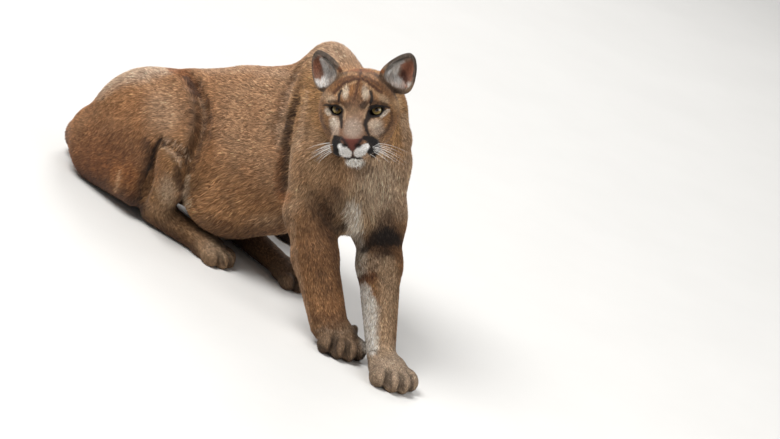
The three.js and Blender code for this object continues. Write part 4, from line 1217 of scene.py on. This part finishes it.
# Build
points, quads = skin_net()
points = fit_skin(points)
points[:, 2] = np.maximum(points[:, 2], LOWEST_SKIN)
tris = np.concatenate([quads[:, [0, 1, 2]], quads[:, [0, 2, 3]]])
FOLD_REACH = 11
level, trait = field(points, True)
normals = unit(slope(points))
skin_tint = markings(points, normals, trait[:, 4:7], trait[:, 7:10], trait[:, 1])
# 1 deep in a fold, where the surface off the skin is nearer than it would be in the open; skin and coat are
# painted darker there, as painted shade in the folds
fold_depth_shade = smooth(1.2, 6.5, level + FOLD_REACH - field(points + normals * FOLD_REACH))
fold_depth_shade = fold_depth_shade * (1 - 0.8 * ear_tint(points, skin_tint.copy())[1])
skin_tint = skin_tint * (1 - 0.5 * fold_depth_shade)[:, None]
skin = new_mesh("skin", metres(points), tris, 3)
# Painted shade: under the coat the skin is darkened to 0.7, for the shade in the gaps between tufts; bald
# skin keeps its tint.
under = np.where(bald(points)[:, None] > 0, skin_tint, skin_tint * 0.7)
paint(skin.data, "Tint", under)
skin.data.materials.append(SKIN)
bpy.context.view_layer.objects.active = skin
skin.select_set(True)
bpy.ops.object.mode_set(mode="EDIT")
bpy.ops.mesh.select_all(action="SELECT")
bpy.ops.uv.smart_project(angle_limit=1.15, island_margin=0.002)
bpy.ops.object.mode_set(mode="OBJECT")
skin.data.uv_layers[0].name = "OFBake"
skin_uv = np.empty(len(skin.data.loops) * 2, np.float32)
skin.data.uv_layers[0].data.foreach_get("uv", skin_uv)
skin_uv = skin_uv.reshape(-1, 3, 2)
corner_points = np.empty(len(skin.data.loops), np.int32)
skin.data.loops.foreach_get("vertex_index", corner_points)
tris = corner_points.reshape(-1, 3).astype(np.int64)
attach(skin, "root")
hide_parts(*[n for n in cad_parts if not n.startswith("eye")])


def scatter():
    """Roots of the tufts, evenly over the skin, closer where the coat is finer."""
    a, b, c = points[tris[:, 0]], points[tris[:, 1]], points[tris[:, 2]]
    area = np.linalg.norm(np.cross(b - a, c - a), axis=1) / 2
    spacing = trait[tris, 3].mean(1)
    middle = (a + b + c) / 3
    want = area / spacing ** 2
    flat_down = (normals[tris].mean(1)[:, 2] < -0.9) & (middle[:, 2] < 2)
    want[flat_down | (bald(middle) > 0)] = 0
    order = np.lexsort((middle[:, 2] // 12, middle[:, 1] // 12, middle[:, 0] // 12))
    run = np.cumsum(want[order])
    marks = np.arange(0.5, run[-1], 1.0)
    chosen = order[np.searchsorted(run, marks)]
    u = DRAW.random((len(chosen), 2))
    over = u.sum(1) > 1
    u[over] = 1 - u[over]
    w = np.column_stack([1 - u.sum(1), u])
    return chosen, w


def blend_at(values, chosen, w):
    return np.einsum("ni,nij->nj", w, values[tris[chosen]])


SPIKE = np.array([[0, 2, 3], [1, 3, 2], [0, 3, 1], [0, 1, 2]])
LOCK = np.array([[0, 1, 2], [0, 2, 5], [0, 5, 3], [1, 4, 5], [1, 5, 2], [0, 3, 4], [0, 4, 1],
                 [3, 5, 6], [4, 6, 5], [3, 6, 4]])


def tuft_piece(name, root, normal, way, length, width, lift, low, high, uv, bent=0.0):
    """Joined closed tufts: three-cornered spikes, or locks that rise and then lie down."""
    n = len(root)
    side = unit(np.cross(normal, way))
    rise = unit(way + normal * lift[:, None])
    top = unit(np.cross(rise, side))
    w, l = width[:, None], length[:, None]
    base = root - normal * 0.4
    rows = [base + side * w / 2, base - side * w / 2, base + top * w * 0.4]
    # The root corners take the darker colour and the tip the lighter one: painted shade deep in the coat and
    # painted light at the tips.
    shades = [low, low, low]
    slopes = [unit(normal * 1.0 + side * 0.55), unit(normal * 1.0 - side * 0.55), normal]
    spots = [(-0.0012, -0.0012), (0.0012, -0.0012), (0, -0.0006)]
    if bent:
        middle = base + rise * l * 0.5
        rows += [middle + side * w * 0.4, middle - side * w * 0.4, middle + top * w * 0.3]
        half = mix(low, high, np.full(n, 0.5))
        shades += [half, half, half]
        slopes += slopes[:3]
        spots += [(-0.0009, 0.0003), (0.0009, 0.0003), (0, 0.0004)]
        tip = middle + unit(way + normal * (lift[:, None] * (1 - bent * 2))) * l * 0.5
        template = LOCK
    else:
        tip = base + rise * l
        template = SPIKE
    rows.append(tip)
    shades.append(high)
    slopes.append(normal)
    spots.append((0, 0.0014))
    k = len(rows)
    verts = np.stack(rows, 1).reshape(-1, 3)
    verts[:, 2] = np.maximum(verts[:, 2], LOWEST_TUFT)
    corners = (template[None] + (np.arange(n) * k)[:, None, None]).reshape(-1, 3)
    piece = new_mesh(name, metres(verts), corners, 3)
    mesh = piece.data
    paint(mesh, "Tint", np.stack(shades, 1).reshape(-1, 3))
    layer = mesh.uv_layers.new(name="OFBake")
    local = uv[:, None, :] + np.array(spots)[None]
    layer.data.foreach_set("uv", local.reshape(-1, 2)[corners.ravel()].astype(np.float32).ravel())
    bend = np.stack(slopes, 1).reshape(-1, 3)
    mesh.normals_split_custom_set_from_vertices(bend.astype(np.float32))
    mesh.materials.append(COAT)
    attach(piece, "root")


# Where the coat is parted into pieces, and the most tufts in a piece of spikes and of longer locks
FORE_FROM = 60
HIND_FROM = -230
BACK_OVER = 110
LOCK_LENGTH = 21
MOST_SPIKES = 48000
MOST_LOCKS = 18500


def grow():
    chosen, w = scatter()
    n = len(chosen)
    root = blend_at(points, chosen, w)
    normal = unit(blend_at(normals, chosen, w))
    t = blend_at(trait, chosen, w)
    uv = np.einsum("ni,nij->nj", w, skin_uv[chosen])
    way = t[:, 7:10] + 0.16 * np.stack([noise(root, 30, 11), noise(root, 30, 12), noise(root, 30, 13)], 1)
    way = unit(way - normal * (way * normal).sum(1, keepdims=True))
    side = np.cross(normal, way)
    angle = DRAW.normal(0, 0.14, n) + 0.2 * noise(root, 14, 14)
    way = unit(way * np.cos(angle)[:, None] + side * np.sin(angle)[:, None])
    length = t[:, 1] * DRAW.uniform(0.75, 1.2, n)
    width = t[:, 2] * DRAW.uniform(0.75, 1.25, n)
    lift = np.clip(t[:, 0] / t[:, 1], 0.12, 0.4) * DRAW.uniform(0.6, 1.15, n)
    tint = markings(root + way * (length * 0.5)[:, None], normal, t[:, 4:7], way, t[:, 1])
    fringe = ear_fringe(root)
    length = np.where(fringe > 0, length + 20 * fringe * DRAW.uniform(0.5, 1.1, n), length)
    lift = np.where(fringe > 0, 0.5 * DRAW.uniform(0.6, 1.2, n), lift)
    tint = np.where((fringe > 0)[:, None], mix(tint, linear((226, 220, 212)), 0.6 * fringe), tint)
    shade = np.exp(DRAW.normal(0, 0.24, n) + 0.42 * noise(root, 3.4, 15) + 0.12 * noise(root, 8, 16))
    ticked = DRAW.random(n) < 0.32
    pale = (DRAW.random(n) < 0.28) & ~ticked
    # Painted shade: the tufts made darker deep in folds, like the skin under them.
    tint = tint * (1 - 0.5 * blend_at(fold_depth_shade[:, None], chosen, w))
    # Painted shade and light in the coat: each tuft is darker at its root, where the coat shades it, and
    # lighter at its tip.
    low = np.clip(tint * 0.52 * shade[:, None], 0, 1)
    high = tint * 1.11 * shade[:, None]
    high = np.where(ticked[:, None], high * np.array([0.42, 0.35, 0.3]), high)
    high = np.where(pale[:, None], high * 1.6 + 0.02, high)
    high = np.clip(high, 0, 1)
    head_space = out_of(HEAD, root)
    on_head = (np.abs(head_space[:, 1]) < 120) & (head_space[:, 0] > -110) & (head_space[:, 2] > -125) \
        & (np.linalg.norm(head_space, axis=1) < HEAD_REACH)
    long_coat = (t[:, 1] > LOCK_LENGTH) & ~on_head
    short = ~on_head & ~long_coat
    rear = short & (root[:, 0] <= FORE_FROM)
    on_back = (root[:, 0] > HIND_FROM) & (root[:, 2] > BACK_OVER)
    groups = {
        "head": on_head,
        "belly": long_coat,
        "fore": short & (root[:, 0] > FORE_FROM),
        "back": rear & on_back,
        "hind": rear & ~on_back,
    }
    made = 0
    for name, mask in groups.items():
        rows = np.flatnonzero(mask)
        bent = 0.3 if name == "belly" else 0.0
        most = MOST_LOCKS if bent else MOST_SPIKES
        for i, part in enumerate(np.array_split(rows, max(1, math.ceil(len(rows) / most)))):
            tuft_piece(f"coat_{name}_{i + 1}", root[part], normal[part], way[part], length[part], width[part],
                       lift[part], low[part], high[part], uv[part], bent)
            made += len(part) * len(LOCK if bent else SPIKE)
    print("tufts", n, "coat triangles", made, "skin triangles", len(tris))


grow()


def eyes():
    for side, s in SIDES:
        x, y, z = EYE_PLACE
        centre = into(HEAD, np.array([[x, y * s, z]], float))[0]
        sight = unit(HEAD[:3, :3] @ np.array([0.975, 0.118 - 0.03 * s, 0.193]))
        up = unit(np.cross(np.cross(sight, HEAD[:3, 2]), sight))
        left = np.cross(up, sight)
        rings, around = 48, 64
        pts, gaze = [], []
        for i in range(rings + 1):
            a = math.pi * (i / rings) ** 1.35
            r = EYE_RADIUS - 0.25 + 0.9 * max(0.0, math.cos(min(a / 0.75, math.pi / 2)))
            for j in range(around):
                b = 2 * math.pi * j / around
                flat = math.cos(b) * left + math.sin(b) * up
                pts.append(centre + r * (math.cos(a) * sight + math.sin(a) * flat))
                gaze.append((a, b, math.sin(a) * math.sin(b)))
        grid = np.arange((rings + 1) * around).reshape(rings + 1, around)
        nxt = np.roll(grid, -1, axis=1)
        faces = np.stack([grid[:-1], grid[1:], nxt[1:], nxt[:-1]], -1).reshape(-1, 4)
        ball = new_mesh(f"eyeball_{side}", metres(np.array(pts)), faces, 4)
        layer = ball.data.attributes.new("Gaze", "FLOAT_VECTOR", "POINT")
        layer.data.foreach_set("vector", np.array(gaze, np.float32).ravel())
        ball.data.materials.append(EYE)
        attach(ball, "root")
        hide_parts(f"eye_{side}")


eyes()


def whiskers():
    rows = [(-60, 4), (-65, 5), (-70, 5), (-75, 4)]
    verts, faces = [], []
    sides, parts = 5, 8
    for _, s in SIDES:
        for row, (z, count) in enumerate(rows):
            for i in range(count):
                x = 66 - i * 9 + DRAW.uniform(-2, 2)
                start = np.array([x, (38 - 0.012 * (66 - x) ** 2) * s * 0.9, z + DRAW.uniform(-1.5, 1.5)])
                long = (30 + 8 * i) * DRAW.uniform(0.8, 1.15)
                way = unit([0.25 - 0.16 * i, 1.0 * s, -0.12 - 0.1 * row + DRAW.uniform(-0.08, 0.08)])
                droop = np.array([-0.22, 0, -0.26]) * DRAW.uniform(0.7, 1.3)
                for _ in range(12):
                    here = into(HEAD, start[None])
                    if field(here)[0] > -1.5:
                        break
                    start[1] += 2 * s
                base = len(verts)
                for k in range(parts + 1):
                    f = k / parts
                    c = start - way * 3 + way * long * f + droop * long * f * f
                    r = 0.31 * (1 - f) + 0.07
                    across = unit(np.cross(way, [0, 0, 1]))
                    above = np.cross(across, way)
                    for j in range(sides):
                        a = 2 * math.pi * j / sides
                        verts.append(c + r * (math.cos(a) * across + math.sin(a) * above))
                for k in range(parts):
                    for j in range(sides):
                        p, q = base + k * sides + j, base + k * sides + (j + 1) % sides
                        faces += [(p, q, q + sides), (p, q + sides, p + sides)]
                for j in range(1, sides - 1):
                    faces.append((base, base + j + 1, base + j))
                    end = base + parts * sides
                    faces.append((end, end + j, end + j + 1))
    piece = new_mesh("whiskers", metres(into(HEAD, np.array(verts))), np.array(faces), 3)
    piece.data.materials.append(WHISKER)
    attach(piece, "root")


whiskers()


# Each lamp's place and size in metres, and its power in watts
LAMPS = {
    "key": ((-0.6, -2.6, 4.6), 2.4, 300),
    "fill": ((4.4, 0.2, 2.6), 3.0, 90),
    "rim": ((-3.2, 2.6, 3.4), 2.5, 110),
}


def studio():
    half = 40
    corners = np.array([[-half, -half, 0], [half, -half, 0], [half, half, 0], [-half, half, 0]], float)
    floor = new_mesh("floor", corners, np.array([[0, 1, 2, 3]]), 4)
    floor.data.materials.append(FLOOR)
    world = bpy.data.worlds.new("studio")
    bpy.context.scene.world = world
    world.use_nodes = True
    back = world.node_tree.nodes["Background"]
    back.inputs["Color"].default_value = (0.80, 0.81, 0.83, 1)
    back.inputs["Strength"].default_value = 0.4
    for name, (stand, size, power) in LAMPS.items():
        light = bpy.data.lights.new(name, "AREA")
        light.size = size
        light.energy = power
        holder = bpy.data.objects.new(name, light)
        bpy.context.scene.collection.objects.link(holder)
        way = unit(np.array([0, 0, 0.3]) - np.array(stand))
        holder.location = stand
        holder.rotation_mode = "QUATERNION"
        holder.rotation_quaternion = Vector(way.tolist()).to_track_quat("-Z", "Y")


studio()
make_camera()
bpy.context.scene.view_settings.view_transform = "Standard"
